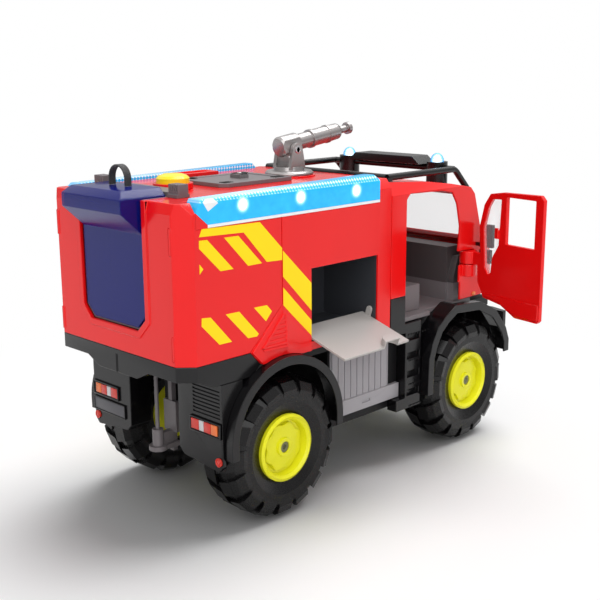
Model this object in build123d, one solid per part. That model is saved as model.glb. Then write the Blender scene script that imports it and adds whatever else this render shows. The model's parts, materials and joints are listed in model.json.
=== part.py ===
from build123d import *
import math
import os

# Sizes in millimetres: X forward from the rear axle, Y to the left, Z up from the floor
WALL = 3.0
LINER_WALL = 2.5
CLEAR_WALL = 2.0
SEAT_GAP = 0.3
RUN_GAP = 0.12
SWING_GAP = 1.0
SEAM_GAP = 0.6
OVERCUT = 1.0
FAR = 900.0

# Wheels and axles
WHEELBASE = 370.0
TYRE_RADIUS = 89.3
TYRE_WIDTH = 68.0
TYRE_ROOM = 2.0
LUG_HEIGHT = 5.5
LUG_COUNT = 16
LUG_SHARE = 0.62
LUG_SLANT = 5.0
RIM_RADIUS = 42.0
RIM_RECESS = 5.5
AXLE_RADIUS = 4.0
AXLE_RECESS = 7.0

# Widths, from the body's side outwards and inwards
BODY_HALF = 127.1
FENDER_STANDOUT = 13.9
FENDER_DEPTH = 29.0
FENDER_FACE = BODY_HALF + FENDER_STANDOUT
FENDER_INNER = FENDER_FACE - FENDER_DEPTH
TYRE_TUCK = 4.5
TYRE_FACE = FENDER_FACE - TYRE_TUCK
RIM_FACE = TYRE_FACE - RIM_RECESS
AXLE_END = TYRE_FACE - AXLE_RECESS
TUB_HALF = FENDER_INNER - 1.0

# Heights of the chassis, from the wheels up
WHEEL_ROOM = 7.4
PLATE_THICK = 14.0
FRAME_TOP = 2 * TYRE_RADIUS + WHEEL_ROOM
BODY_LOW = FRAME_TOP + PLATE_THICK

# Red body box
BODY_REAR = -146.6
BODY_SEAM = 2.0
CAB_BEHIND_HINGE = 170.0
CAB_GAP = 1.5
CAB_REAR = WHEELBASE - CAB_BEHIND_HINGE
BODY_FRONT = CAB_REAR - CAB_GAP
BODY_HEIGHT = 197.0
BODY_TOP = BODY_LOW + BODY_HEIGHT
REAR_STEP = 17.0
BODY_LOW_REAR = BODY_LOW + REAR_STEP
STEP_REAR = -50.0
STEP_FRONT = -33.8
PEAK_RISE = 66.0
PEAK_PROUD = 4.0
CORNER_X = 17.2
CORNER_Y = 16.4
TOP_BEVEL_IN = 9.0
TOP_BEVEL_DOWN = 12.0
CORNER_RIDGE = 1.0

# Vent above the rear wheel: ahead of the seam, above the body's low edge
VENT_CORNERS = [(0.0, 55.0), (-36.5, 20.0), (-34.0, 15.5), (5.0, 13.5), (5.0, 52.0)]
VENT_RISE = 1.6
VENT_RIM = 3.2
VENT_SLATS = 7
VENT_PITCH = 5.4

# Rear opening and the clear tank cover in it
BAY_HALF = 60.5
BAY_RISE = 47.0
BAY_CORNER = 15.0
BAY_DEPTH = 38.6
BAY_LOW = BODY_LOW + BAY_RISE
BAY_FRONT = BODY_REAR + BAY_DEPTH
FRAME_WIDTH = 8.0
FRAME_PROUD = 1.6
TANK_FACE = BODY_REAR + 1.6
TANK_FLARE_LOW = BODY_TOP - 39.0
TANK_LIP_REACH = 25.9
TANK_LIP_X = BODY_REAR - TANK_LIP_REACH
TANK_LIP_LOW = BODY_TOP - 14.0
TANK_LIP_TOP = BODY_TOP + 1.5
TANK_TOP = BODY_TOP + 10.0
TANK_LIP_CUT = 8.0
TANK_TOP_CUT = 9.0
STRAP_X = BODY_REAR + 11.6
STRAP_HALF = 16.0
STRAP_WIDTH = 9.0
STRAP_THICK = 1.8
STRAP_RISE = 24.0

# Black skirt under the rear of the body
SKIRT_RISE = 2.5
SKIRT_LOW = FRAME_TOP + SKIRT_RISE
SKIRT_EDGE = SKIRT_LOW + 10.5
SKIRT_RAMP = 15.0
SKIRT_DEEP = 41.9
CHIN_HALF = 38.0
CHIN_EDGE = 60.0
GROOVE = 3.0

# Compartment and its flap, one on each side
BOX_REAR = BODY_SEAM + 48.7
BOX_FRONT = BODY_FRONT - 25.6
BOX_RISE = 10.5
BOX_HEIGHT = 91.0
BOX_DEPTH = 99.1
BOX_LOW = BODY_LOW + BOX_RISE
BOX_TOP = BOX_LOW + BOX_HEIGHT
FLAP_THICK = 3.0
FLAP_LOW = BOX_LOW + 7.0
FLAP_TOP = BOX_TOP - 1.0
FLAP_HINGE_IN = 11.9
FLAP_HINGE_Y = BODY_HALF - FLAP_HINGE_IN
FLAP_HINGE_Z = FLAP_LOW + 11.2
FLAP_OPEN = 107.3
FLAP_SIDE_GAP = 0.8
FLAP_PIN_RADIUS = 2.0
EAR_THICK = 3.0
EAR_RADIUS = 4.2
PULL_RADIUS = 12.0
PULL_WALL = 1.8
PULL_DEPTH = 8.0
PULL_FORWARD = 26.0

# Light bars along the top edges
BAR_LOW = BODY_TOP - 28.0
BAR_TOP = BODY_TOP + 7.0
BAR_REAR = BODY_REAR + 21.6
BAR_FRONT = BODY_FRONT - 22.5
BAR_WIDTH = 22.1
BAR_BEVEL_IN = 6.0
BAR_BEVEL_DOWN = 8.0
BAR_SEAT = 5.0
BAR_FOOT = 12.0
BAR_RAKE = 16.0
TRIM_HEIGHT = 3.5
TRIM_GAP = 0.05

# Things on the deck
LATCH_Y = 72.0
LATCH_X = BAY_FRONT + 4.0
LATCH_PLATE = 5.0
DECK_PLATE_LENGTH = 28.0
KNOB_BASE = 9.0
KNOB_HALF = 7.0
KNOB_HEIGHT = 15.0
KNOB_RIBS = 5
KNOB_PITCH = 3.6
BUTTON_X = BODY_SEAM - 57.0
BUTTON_RADIUS = 20.0
BUTTON_WALL = 4.0
BUTTON_SEAT = 3.0
BUTTON_RISE = 18.0
RAISED_X = BODY_SEAM + 28.0
RAISED_Y = 62.0
RAISED_LENGTH = 56.0
RAISED_WIDTH = 28.0
RAISED_HEIGHT = 9.0
RAISED_WALL = 6.0
HATCH_REAR = BODY_SEAM - 17.0
HATCH_GAP = 8.2
HATCH_HALF = 45.6
HATCH_THICK = 5.0
HATCH_RIM = 9.0
HATCH_SINK = 1.2
CATCH_LENGTH = 14.0
CATCH_HALF = 10.0
CATCH_HEIGHT = 9.0

# Cab, whose side outline starts from the door hinge and the cab's top
CAB_HEIGHT = 191.5
CAB_TOP = BODY_LOW + CAB_HEIGHT
CAB_SILL = BODY_LOW + 12.0
CAB_PILLAR_LOW = BODY_LOW + 38.0
CAB_OVERHANG = 88.0
CAB_FRONT = WHEELBASE + CAB_OVERHANG
CAB_BEVEL_IN = 10.0
CAB_BEVEL_DOWN = 17.5
CAB_CORNER = 22.0
CAB_CORNER_LENGTH = 54.0
# Ahead of the hinge, below the cab's top
CAB_PROFILE = [
    (-97.0, 5.0), (-40.0, 12.5), (2.0, 20.5), (12.0, 30.5), (34.0, 99.5), (76.0, 114.5),
    (CAB_OVERHANG, 129.5),
]
SCREEN_EDGE = 26.1
SCREEN_DOWN = 34.5
SCREEN_HEIGHT = 61.0
SCREEN_RAKE = 12.0
SCREEN_OVERLAP = 5.0

# Cab door, hung on a barrel at its front edge
HINGE_X = WHEELBASE
HINGE_Y = BODY_HALF - 0.1
HINGE_RADIUS = 12.5
HINGE_PIN_RADIUS = 4.0
KNUCKLE_HEIGHT = 18.0
HINGE_LOW = BODY_LOW + 45.0
HINGE_MID = HINGE_LOW + KNUCKLE_HEIGHT
HINGE_TOP = HINGE_MID + KNUCKLE_HEIGHT
DOOR_THICK = 6.0
DOOR_OPEN = 80.0
DOOR_GAP = 1.5
DOOR_FOOT = 26.0
DOOR_FOOT_PROUD = 0.8
# Behind the barrel's centre, below the cab's top
DOOR_UPPER = [(138.0, 25.5), (132.0, 19.5), (66.0, 21.5), (42.0, 25.5), (31.0, 41.5), (23.0, 73.5)]
# Behind the barrel's centre, above the body's low edge
DOOR_LOWER = [(22.0, 40.0), (34.0, 19.0), (68.0, 14.0), (94.0, 1.0), (134.0, 1.0), (138.0, 5.0)]
WINDOW_REAR = 124.0
WINDOW_FRONT = 73.0
WINDOW_DOWN = 27.5
WINDOW_RISE = 100.0
WINDOW_LOW = BODY_LOW + WINDOW_RISE
# Behind the barrel's centre, below the cab's top
VENT_UPPER = [(66.0, 28.5), (45.0, 29.5), (36.0, 43.5), (28.0, 73.5)]
# Behind the barrel's centre, above the body's low edge
VENT_LOWER = [(32.0, 62.0), (40.0, 50.0), (49.0, 54.0), (52.0, 78.0), (63.0, 96.0)]
VENT_FRAME = 3.0
VENT_THICK = 2.0
TAB_PLACE = 58.0
TAB_HALF = 3.0
TAB_RISE = 106.0
TAB_LOW = BODY_LOW + TAB_RISE
TAB_HEIGHT = 15.0

# Inside the cab
FLOOR_RISE = 6.0
FLOOR_TOP = BODY_LOW + FLOOR_RISE
DASH_HEIGHT = 78.0
DASH_TOP = FLOOR_TOP + DASH_HEIGHT
DASH_REAR = WHEELBASE - 12.0
DASH_DEEP = 40.0
DASH_HALF = BODY_HALF - 29.0
CONSOLE_HALF = BODY_HALF - 19.0
SEAT_Y = 62.0
SEAT_HALF = 42.0
SEAT_BACK = CAB_REAR + 8.0
SEAT_BACK_THICK = 28.0
SEAT_LENGTH = 54.0
SEAT_CUSHION = 36.0
SEAT_BACK_HEIGHT = 94.0
TUNNEL_HALF = 20.0
TUNNEL_HEIGHT = 22.0
WHEEL_RING = 19.0
WHEEL_GRIP = 2.4
WHEEL_TILT = 60.0
COLUMN_LENGTH = 14.5

# Cage, lamps and mirrors on the cab
CAGE_RADIUS = 4.5
CAGE_Y = BODY_HALF - 15.1
CAGE_Z = CAB_TOP + 5.0
CAGE_REAR = CAB_REAR + 6.0
CAGE_FRONT = WHEELBASE - 20.0
CAGE_BEND = 16.0
# Ahead of the hinge, below the cage's roof bars
CAGE_NOSE = [(-18.0, 0.0), (22.0, 38.5), (42.0, 113.5)]
POD_RADIUS = 15.0
POD_Y = 83.0
POD_RISE = 9.0
BEACON_RADIUS = 9.5
BEACON_HEIGHT = 8.0
BEACON_CUT = 4.0
BOARD_LENGTH = 36.0
BOARD_HALF = 67.0
BOARD_SLOPE = 13.0
BOARD_HEIGHT = 11.0
MIRROR_X = WHEELBASE + 16.0
MIRROR_THICK = 6.0
MIRROR_REACH = 28.9
MIRROR_WIDTH = 22.0
# Foot above the body's low edge, height, shortening of the outer end, arm above the foot
MIRRORS = [(85.0, 33.0, 0.0, 1.0), (62.0, 20.0, 3.0, 6.0)]
ARM_THICK = 5.0

# Chassis, fenders and bumpers
SPINE_HALF = 22.0
SPINE_REAR = -62.0
SPINE_RISE = 14.7
SPINE_LOW = TYRE_RADIUS + SPINE_RISE
HOUSING_RADIUS = 24.0
HOUSING_LENGTH = 40.0
HOUSING_HALF = 60.0
HOUSING_TUBE = 11.0
TUB_REAR = TYRE_RADIUS + 6.7
TUB_FRONT = WHEELBASE - TYRE_RADIUS - 16.7
TUB_DEPTH = 104.0
TUB_LOW = FRAME_TOP - TUB_DEPTH
FENDER_LIP = 2.5
FENDER_RADIUS = TYRE_RADIUS + 3.7
FENDER_RISE = 22.7
FENDER_Z = TYRE_RADIUS + FENDER_RISE
FENDER_SKIN = 2.2
FENDER_EDGE = 11.0
FENDER_FOOT = TYRE_RADIUS + 8.7
# Ahead of the front axle, above it
FRONT_ARCH = [
    (-104.0, 2.7), (-102.5, 54.7), (-95.5, 74.7), (-83.0, 96.2), (-67.5, 108.7), (-43.0, 121.7),
    (15.0, 116.7), (54.0, 98.7), (82.5, 66.7), (91.5, 46.7), (91.5, 28.7),
]
FRONT_EDGE = 12.0
BUMPER_REAR = -(TYRE_RADIUS + 6.7)
BUMPER_LENGTH = 32.0
BUMPER_INNER = 48.8
BUMPER_OUTER = BODY_HALF + 0.9
BUMPER_LOW = TYRE_RADIUS - 7.3
LAMP_Y = 97.0
LAMP_Z = TYRE_RADIUS + 43.2
LAMP_HALF = 24.0
LAMP_HIGH = 6.5
LAMP_PROUD = 0.8
LAMP_SINK = 1.5
REFLECTOR_Y = 121.0
REFLECTOR_Z = TYRE_RADIUS + 5.3
REFLECTOR_RADIUS = 5.0
LOUVRE_COUNT = 8
LOUVRE_LOW = TYRE_RADIUS + 57.7
LOUVRE_PITCH = 4.6
LOUVRE_SLOT = 2.2
LOUVRE_HALF = 24.0
LOUVRE_Y = 100.0
PANEL_FRONT = WHEELBASE - 158.0
PANEL_THICK = 2.5
PANEL_LOW = TUB_LOW + 28.0
PLANK_COUNT = 9
PLANK_WIDTH = 10.6
PLANK_PITCH = 12.0
PLANK_PROUD = 1.5
LEDGE_REAR = TUB_REAR + 17.0
LEDGE_FRONT = WHEELBASE - 139.0
LEDGE_LOW = TUB_LOW + 13.0
LEDGE_HEIGHT = 20.0
LEDGE_PROUD = 6.0
SLOT_LENGTH = 16.0
SLOT_HEIGHT = 4.0
STEP_LENGTH = 32.8
STEP_FOOT = TUB_LOW - 4.0
STEP_TOP = SKIRT_LOW + 10.5
STEP_HEEL = 18.0
STEP_RECESS = 5.0
STEP_COUNT = 4
STEP_PITCH = 26.0
STEP_OPEN = 9.0
FRONT_BAR_LOW = TYRE_RADIUS + 30.7
FRONT_BAR_HEIGHT = 56.0
FRONT_BAR_THICK = 15.0
FRONT_BAR_HALF = BODY_HALF + 0.9
FRONT_BAR_SWEEP = 28.0
CARRIER_HALF = 60.0
GRILLE_HALF = 80.0
GRILLE_LOW = BODY_LOW + 14.0
GRILLE_HEIGHT = 44.0
GRILLE_THICK = 5.0
GRILLE_BARS = 5
GRILLE_PITCH = 7.6
GRILLE_SLOT = 4.2
GRILLE_RIM = 6.0
HEADLAMP_Y = 88.0
HEADLAMP_RADIUS = 14.0

# Tow coupling, whose socket mouth is the origin of the exported frame
TOW_X = -91.4
TOW_Z = 77.0
TOW_SOCKET_RADIUS = 3.0
TOW_SOCKET_DEPTH = 22.0
TOW_FLANGE_RADIUS = 11.5
TOW_FLANGE = 6.0
TOW_COLLAR_RADIUS = 7.0
TOW_COLLAR = 21.0
TOW_PIN_RADIUS = 2.5
TOW_PLATE_HALF = 12.0
TOW_PLATE_LOW = 19.0
TOW_PLATE_HEIGHT = 40.0
TOW_POST_HALF = 3.5

# Water cannon
CANNON_X = BODY_FRONT - 59.3
CANNON_SEAT_RISE = 2.0
CANNON_SEAT = BODY_TOP + CANNON_SEAT_RISE
CANNON_PIVOT_RISE = 32.5
CANNON_PIVOT = CANNON_SEAT + CANNON_PIVOT_RISE
CANNON_AXIS_RISE = 5.7
CANNON_TILT = 8.1
CANNON_FOOT_RADIUS = 32.0
CANNON_FOOT = 5.0
CANNON_FOOT_CUT = 2.5
CANNON_RING = 3.0
CANNON_HUB_RADIUS = 20.0
FORK_HALF = 17.0
FORK_INNER = 11.5
FORK_FOOT = 14.0
FORK_EYE = 9.0
FORK_PIN_RADIUS = 4.5
SPIGOT_RADIUS = 9.0
SPIGOT_DEPTH = 12.0
# Distance along the barrel from the pivot, radius
BARREL = [
    (-19.0, 0.0), (-19.0, 11.0), (-16.0, 13.5), (12.0, 13.5), (15.0, 10.5), (38.0, 10.5),
    (38.0, 12.5), (43.0, 12.5), (43.0, 11.3), (70.0, 11.3), (70.0, 12.3), (74.0, 12.3),
    (74.0, 11.3), (92.0, 10.8), (95.0, 9.0), (95.0, 5.0), (113.0, 5.0), (113.0, 8.3),
    (118.5, 8.3), (118.5, 0.0),
]
BARREL_FLAT = 15.5
NOZZLE_BORE_RADIUS = 2.8
NOZZLE_BORE_DEPTH = 18.0

PARTS = "parts"


def flat_face(points, inset):
    """Face inside a closed outline, drawn in by inset, or grown where inset is negative."""
    face = make_face(Polyline(*points, close=True).edges())
    return offset(face, -inset, kind=Kind.INTERSECTION) if inset else face


def prism_y(outline, y0, y1, inset=0):
    """Outline of (x, z) points pushed from y0 to y1."""
    face = flat_face([(x, y0, z) for x, z in outline], inset)
    return extrude(face, amount=y1 - y0, dir=(0, 1, 0))


def prism_x(outline, x0, x1, inset=0):
    """Outline of (y, z) points pushed from x0 to x1."""
    face = flat_face([(x0, y, z) for y, z in outline], inset)
    return extrude(face, amount=x1 - x0, dir=(1, 0, 0))


def prism_z(outline, z0, z1, inset=0):
    """Outline of (x, y) points pushed from z0 to z1."""
    face = flat_face([(x, y, z0) for x, y in outline], inset)
    return extrude(face, amount=z1 - z0, dir=(0, 0, 1))


def block(x0, x1, y0, y1, z0, z1):
    """Box between two corners."""
    return prism_z([(x0, y0), (x1, y0), (x1, y1), (x0, y1)], z0, z1)


def rod_y(x, z, radius, y0, y1):
    """Round rod along Y."""
    place = Plane(origin=(x, y0, z), x_dir=(1, 0, 0), z_dir=(0, 1, 0))
    return extrude(place * Circle(radius), amount=y1 - y0)


def rod_z(x, y, radius, z0, z1):
    """Round rod along Z."""
    return Pos(x, y, z0) * extrude(Circle(radius), amount=z1 - z0)


def rod_x(y, z, radius, x0, x1):
    """Round rod along X."""
    place = Plane(origin=(x0, y, z), x_dir=(0, 1, 0), z_dir=(1, 0, 0))
    return extrude(place * Circle(radius), amount=x1 - x0)


def turned(profile):
    """Solid turned about X from its (distance, radius) profile."""
    edges = Polyline(*[(s, 0, r) for s, r in profile], close=True).edges()
    return revolve(make_face(edges), axis=Axis.X)


def turned_z(profile, x, y, z):
    """Solid turned about an upright axis from its (radius, height) profile."""
    edges = Polyline(*[(r, 0, h) for r, h in profile], close=True).edges()
    return Pos(x, y, z) * revolve(make_face(edges), axis=Axis.Z)


def other_side(shape):
    """The same piece on the other side of the truck."""
    return mirror(shape, about=Plane.XZ)


def both_sides(shape):
    """A piece and its twin on the other side."""
    return Compound(children=[shape, other_side(shape)])


def save(name, shape):
    """Write one node, moved so that the tow socket's mouth is the origin."""
    solids = [Pos(-TOW_X, 0, -TOW_Z) * solid for solid in shape.solids()]
    placed = solids[0] if len(solids) == 1 else Compound(children=solids)
    placed.label = name
    export_step(placed, f"{PARTS}/{name}.step")
    print(f"{name}: {len(solids)} solid(s), {placed.volume / 1000:.1f} cm3")


# Body shells

def body_plan():
    """Plan outline of the body box with its cut rear corners."""
    return [
        (BODY_REAR, CORNER_Y - BODY_HALF),
        (BODY_REAR + CORNER_X, -BODY_HALF),
        (BODY_FRONT, -BODY_HALF),
        (BODY_FRONT, BODY_HALF),
        (BODY_REAR + CORNER_X, BODY_HALF),
        (BODY_REAR, BODY_HALF - CORNER_Y),
    ]


def body_section():
    """Cross-section of the body box with its bevelled top edges."""
    shoulder = BODY_TOP - TOP_BEVEL_DOWN
    return [
        (-BODY_HALF, 0),
        (-BODY_HALF, shoulder),
        (TOP_BEVEL_IN - BODY_HALF, BODY_TOP),
        (BODY_HALF - TOP_BEVEL_IN, BODY_TOP),
        (BODY_HALF, shoulder),
        (BODY_HALF, 0),
    ]


def body_side():
    """Side outline of the red body, whose lower edge steps down over the wheel."""
    return [
        (BODY_REAR, BODY_LOW_REAR),
        (STEP_REAR, BODY_LOW_REAR),
        (STEP_FRONT, BODY_LOW),
        (BODY_FRONT, BODY_LOW),
        (BODY_FRONT, BODY_TOP),
        (BODY_REAR + TOP_BEVEL_IN / 3, BODY_TOP),
        (BODY_REAR, BODY_TOP - TOP_BEVEL_DOWN),
    ]


def body_block(inset):
    """Solid body volume, drawn in by inset on every side but the bottom."""
    tall = prism_z(body_plan(), SKIRT_LOW - WALL, BODY_TOP, inset)
    return tall & prism_x(body_section(), BODY_REAR, BODY_FRONT, inset)


def bay_outline():
    """Rear opening with its cut lower corners, open at the top."""
    high = BODY_TOP + 3 * WALL
    return [
        (-BAY_HALF, high),
        (-BAY_HALF, BAY_LOW + BAY_CORNER),
        (BAY_CORNER - BAY_HALF, BAY_LOW),
        (BAY_HALF - BAY_CORNER, BAY_LOW),
        (BAY_HALF, BAY_LOW + BAY_CORNER),
        (BAY_HALF, high),
    ]


def bar_outline():
    """Cross-section of the right light bar against the body's top edge."""
    return [
        (-BODY_HALF, BAR_LOW),
        (-BODY_HALF, BAR_TOP - BAR_BEVEL_DOWN),
        (BAR_BEVEL_IN - BODY_HALF, BAR_TOP),
        (BAR_WIDTH - BODY_HALF, BAR_TOP),
        (BAR_WIDTH - BODY_HALF, BODY_TOP - BAR_SEAT),
        (BAR_FOOT - BODY_HALF, BAR_LOW),
    ]


def rear_ridges():
    """Low upright ridges beside the right corner of the rear face."""
    y = CORNER_Y - BODY_HALF
    face = BODY_REAR - CORNER_RIDGE
    width = 4 * CORNER_RIDGE
    high = block(face, BODY_REAR + WALL, y, y + width, BODY_TOP - 56, BODY_TOP - 26)
    low = block(face, BODY_REAR + WALL, y, y + width, BODY_LOW_REAR + 6, BODY_LOW_REAR + 34)
    return high + low


def red_shell():
    """Whole hollow body before it is split at its seam."""
    outside = body_block(0) & prism_y(body_side(), -BODY_HALF, BODY_HALF)
    shell = outside - body_block(WALL)
    frame_rim = prism_x(bay_outline(), BODY_REAR - FRAME_PROUD, BODY_REAR + WALL, -FRAME_WIDTH)
    frame_rim = frame_rim & block(-FAR, FAR, -FAR, FAR, 0, BODY_TOP)
    ridges = rear_ridges()
    shell = shell + frame_rim + ridges + other_side(ridges)
    shell = shell - prism_x(bay_outline(), BODY_REAR - WALL, BAY_FRONT)
    notch = prism_x(bar_outline(), BAR_REAR - SEAT_GAP, BAR_FRONT + SEAT_GAP, -SEAT_GAP)
    shell = shell - notch - other_side(notch)
    mouth = block(BOX_REAR, BOX_FRONT, -FAR, 2 * WALL - BODY_HALF, BOX_LOW, BOX_TOP)
    shell = shell - rod_z(CANNON_X, 0, SPIGOT_RADIUS + RUN_GAP, BODY_TOP - 2 * WALL, BODY_TOP + OVERCUT)
    return shell - mouth - other_side(mouth)


def seam_side(gap):
    """What lies ahead of the seam, which runs down and then back along the peak over the wheel."""
    ahead = block(BODY_SEAM + gap, FAR, -FAR, FAR, 0, FAR)
    outline = [
        (BODY_SEAM + 2 * SEAM_GAP, BODY_LOW + PEAK_RISE),
        (BODY_SEAM + gap, BODY_LOW + PEAK_RISE),
        (STEP_REAR + gap, BODY_LOW_REAR),
        (STEP_FRONT + gap, BODY_LOW),
        (BODY_SEAM + 2 * SEAM_GAP, BODY_LOW),
    ]
    peak = prism_y(outline, -BODY_HALF - WALL, 2 * WALL - BODY_HALF)
    return ahead + peak + other_side(peak)


def body_rear(shell):
    """Rear module, which holds the tank."""
    return shell - seam_side(-SEAM_GAP / 2)


def leaning_slab(proud):
    """Slab on the body's right side whose outer face leans out towards its foot."""
    inner = WALL / 2 - BODY_HALF
    outer = -BODY_HALF - proud
    top = BODY_LOW + PEAK_RISE
    outline = [(inner, top), (outer, top), (outer - PEAK_PROUD, BODY_LOW), (inner, BODY_LOW)]
    return prism_x(outline, STEP_REAR, BOX_REAR)


def peak_panel():
    """Leaning three-cornered panel over the right rear wheel, with its rimmed and slatted vent."""
    front = BOX_REAR - WALL
    top = BODY_LOW + PEAK_RISE
    outline = [
        (BODY_SEAM, top),
        (STEP_REAR, BODY_LOW_REAR),
        (STEP_FRONT, BODY_LOW),
        (front, BODY_LOW),
        (front, top - front + BODY_SEAM),
    ]
    panel = leaning_slab(0) & prism_y(outline, -FENDER_FACE, 0, SEAM_GAP)
    corners = [(BODY_SEAM + ahead, BODY_LOW + above) for ahead, above in VENT_CORNERS]
    vent = leaning_slab(VENT_RISE) & prism_y(corners, -FENDER_FACE, 0)
    sunk = leaning_slab(VENT_RISE + OVERCUT) - leaning_slab(VENT_RISE / 3)
    sunk = sunk & prism_y(corners, -FENDER_FACE, 0, VENT_RIM)
    for step in range(VENT_SLATS):
        z = BODY_LOW + VENT_CORNERS[3][1] + VENT_RIM + VENT_PITCH * (step + 0.35)
        sunk = sunk - block(-FAR, FAR, -FAR, 0, z, z + VENT_PITCH / 2)
    return panel + vent - sunk - arch_form(FENDER_RADIUS + SEAT_GAP, -FAR, -FENDER_INNER)


def body_mid(shell):
    """Front module, which holds the compartments."""
    return shell & seam_side(SEAM_GAP / 2)


def lower_skirt():
    """Black tray that closes the rear module from below."""
    deep = BODY_REAR + SKIRT_DEEP
    profile = [
        (BODY_REAR, BODY_LOW_REAR),
        (STEP_REAR, BODY_LOW_REAR),
        (STEP_FRONT, BODY_LOW),
        (STEP_FRONT - SKIRT_RAMP, SKIRT_LOW),
        (deep, SKIRT_LOW),
        (BODY_REAR + CORNER_X, SKIRT_EDGE),
        (BODY_REAR, SKIRT_EDGE),
    ]
    tray = prism_y(profile, -BODY_HALF, BODY_HALF) & prism_z(body_plan(), 0, BODY_TOP)
    chin = [
        (-CHIN_EDGE, SKIRT_EDGE), (-CHIN_HALF, SKIRT_LOW), (CHIN_HALF, SKIRT_LOW), (CHIN_EDGE, SKIRT_EDGE),
    ]
    tray = tray + prism_x(chin, BODY_REAR, deep)
    inner = prism_z(body_plan(), SKIRT_EDGE + WALL, BODY_LOW_REAR, WALL)
    tray = tray - (inner & block(-FAR, STEP_REAR - WALL, -FAR, FAR, 0, FAR))
    groove = block(-FAR, BODY_REAR + GROOVE / 2, -GROOVE / 2, GROOVE / 2, 0, BODY_LOW_REAR - 2 * GROOVE)
    return tray - groove


# Tank cover, bay and strap

def tank_profile():
    """Side outline of the tank cover with its pouring lip."""
    front = BAY_FRONT - 2 * SEAT_GAP - LINER_WALL
    return [
        (TANK_FACE, BAY_LOW + SEAT_GAP),
        (TANK_FACE, TANK_FLARE_LOW),
        (TANK_LIP_X, TANK_LIP_LOW),
        (TANK_LIP_X, TANK_LIP_TOP),
        (TANK_LIP_X + TANK_LIP_CUT, TANK_TOP),
        (front, TANK_TOP),
        (front, BAY_LOW + SEAT_GAP),
    ]


def tank_section():
    """Cross-section of the tank cover with cut corners."""
    half = BAY_HALF - LINER_WALL - 2 * SEAT_GAP
    low = BAY_LOW + LINER_WALL + SEAT_GAP
    return [
        (-half, low + BAY_CORNER),
        (BAY_CORNER - half, low),
        (half - BAY_CORNER, low),
        (half, low + BAY_CORNER),
        (half, TANK_LIP_TOP),
        (half - TANK_TOP_CUT, TANK_TOP),
        (TANK_TOP_CUT - half, TANK_TOP),
        (-half, TANK_LIP_TOP),
    ]


def tank_block(inset):
    """Solid form of the tank cover."""
    side = prism_y(tank_profile(), -BAY_HALF, BAY_HALF, inset)
    return side & prism_x(tank_section(), TANK_LIP_X, 0, inset)


def water_tank():
    """Clear cover, open towards the inside of the body."""
    hollow = tank_block(CLEAR_WALL)
    hollow = hollow + prism_x(tank_section(), TANK_FACE + 4 * CLEAR_WALL, 0, CLEAR_WALL)
    return tank_block(0) - hollow


def tank_bay():
    """Dark tray behind the clear cover."""
    rear = BODY_REAR + WALL + SEAT_GAP
    outer = prism_x(bay_outline(), rear, BAY_FRONT, SEAT_GAP)
    inner = prism_x(bay_outline(), rear - OVERCUT, BAY_FRONT - LINER_WALL, SEAT_GAP + LINER_WALL)
    return (outer - inner) & block(-FAR, FAR, -FAR, FAR, 0, BODY_TOP)


def strap_form(radius, x0, x1):
    """Upright slab with a round top."""
    base = TANK_TOP + SEAT_GAP
    middle = base + STRAP_RISE - STRAP_HALF
    return block(x0, x1, -radius, radius, base, middle) + rod_x(0, middle, radius, x0, x1)


def tank_strap():
    """Webbing loop that pulls the tank out."""
    front = STRAP_X + STRAP_WIDTH
    loop = strap_form(STRAP_HALF, STRAP_X, front)
    loop = loop - strap_form(STRAP_HALF - STRAP_THICK, STRAP_X - OVERCUT, front + OVERCUT)
    return loop & block(-FAR, FAR, -FAR, FAR, TANK_TOP + SEAT_GAP, FAR)


# Things on the deck

def latch_plate():
    """Grey cross plate behind the tank with a ribbed knob at each end."""
    rear = BAY_FRONT + SEAT_GAP
    plate = block(rear, BAY_FRONT + DECK_PLATE_LENGTH, -BAY_HALF, BAY_HALF, BODY_TOP, BODY_TOP + LATCH_PLATE)
    y0 = -LATCH_Y - KNOB_BASE
    y1 = KNOB_BASE - LATCH_Y
    knob = block(LATCH_X - KNOB_BASE, LATCH_X + KNOB_BASE, y0, y1, BODY_TOP, BODY_TOP + LATCH_PLATE - 1)
    knob = knob + block(LATCH_X - KNOB_HALF, LATCH_X + KNOB_HALF, y0, y1, BODY_TOP, BODY_TOP + KNOB_HEIGHT)
    for step in range(KNOB_RIBS - 1):
        y = -LATCH_Y + KNOB_PITCH * (step - KNOB_RIBS / 2 + 1)
        knob = knob - block(-FAR, FAR, y - KNOB_PITCH / 5, y + KNOB_PITCH / 5, BODY_TOP + KNOB_HALF, FAR)
    return Compound(children=[plate, knob, other_side(knob)])


def deck_red():
    """Red ring under the button, the raised block and the cannon seat."""
    ring = rod_z(BUTTON_X, 0, BUTTON_RADIUS + BUTTON_WALL, BODY_TOP, BODY_TOP + BUTTON_SEAT + BUTTON_WALL)
    ring = ring - rod_z(BUTTON_X, 0, BUTTON_RADIUS + SEAT_GAP, BODY_TOP + BUTTON_SEAT, FAR)
    x0 = RAISED_X - RAISED_LENGTH / 2
    x1 = RAISED_X + RAISED_LENGTH / 2
    y0 = RAISED_Y - RAISED_WIDTH / 2
    y1 = RAISED_Y + RAISED_WIDTH / 2
    raised = block(x0, x1, y0, y1, BODY_TOP, BODY_TOP + RAISED_HEIGHT)
    edge = RAISED_WALL
    raised = raised - block(x0 + edge, x1 - edge, y0 + edge, y1 - edge, BODY_TOP + RAISED_HEIGHT - WALL, FAR)
    seat = rod_z(CANNON_X, 0, CANNON_FOOT_RADIUS + CANNON_RING, BODY_TOP, CANNON_SEAT - SEAT_GAP)
    seat = seat - rod_z(CANNON_X, 0, SPIGOT_RADIUS + RUN_GAP, BODY_TOP - OVERCUT, CANNON_SEAT)
    return Compound(children=[ring, raised, seat])


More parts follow.
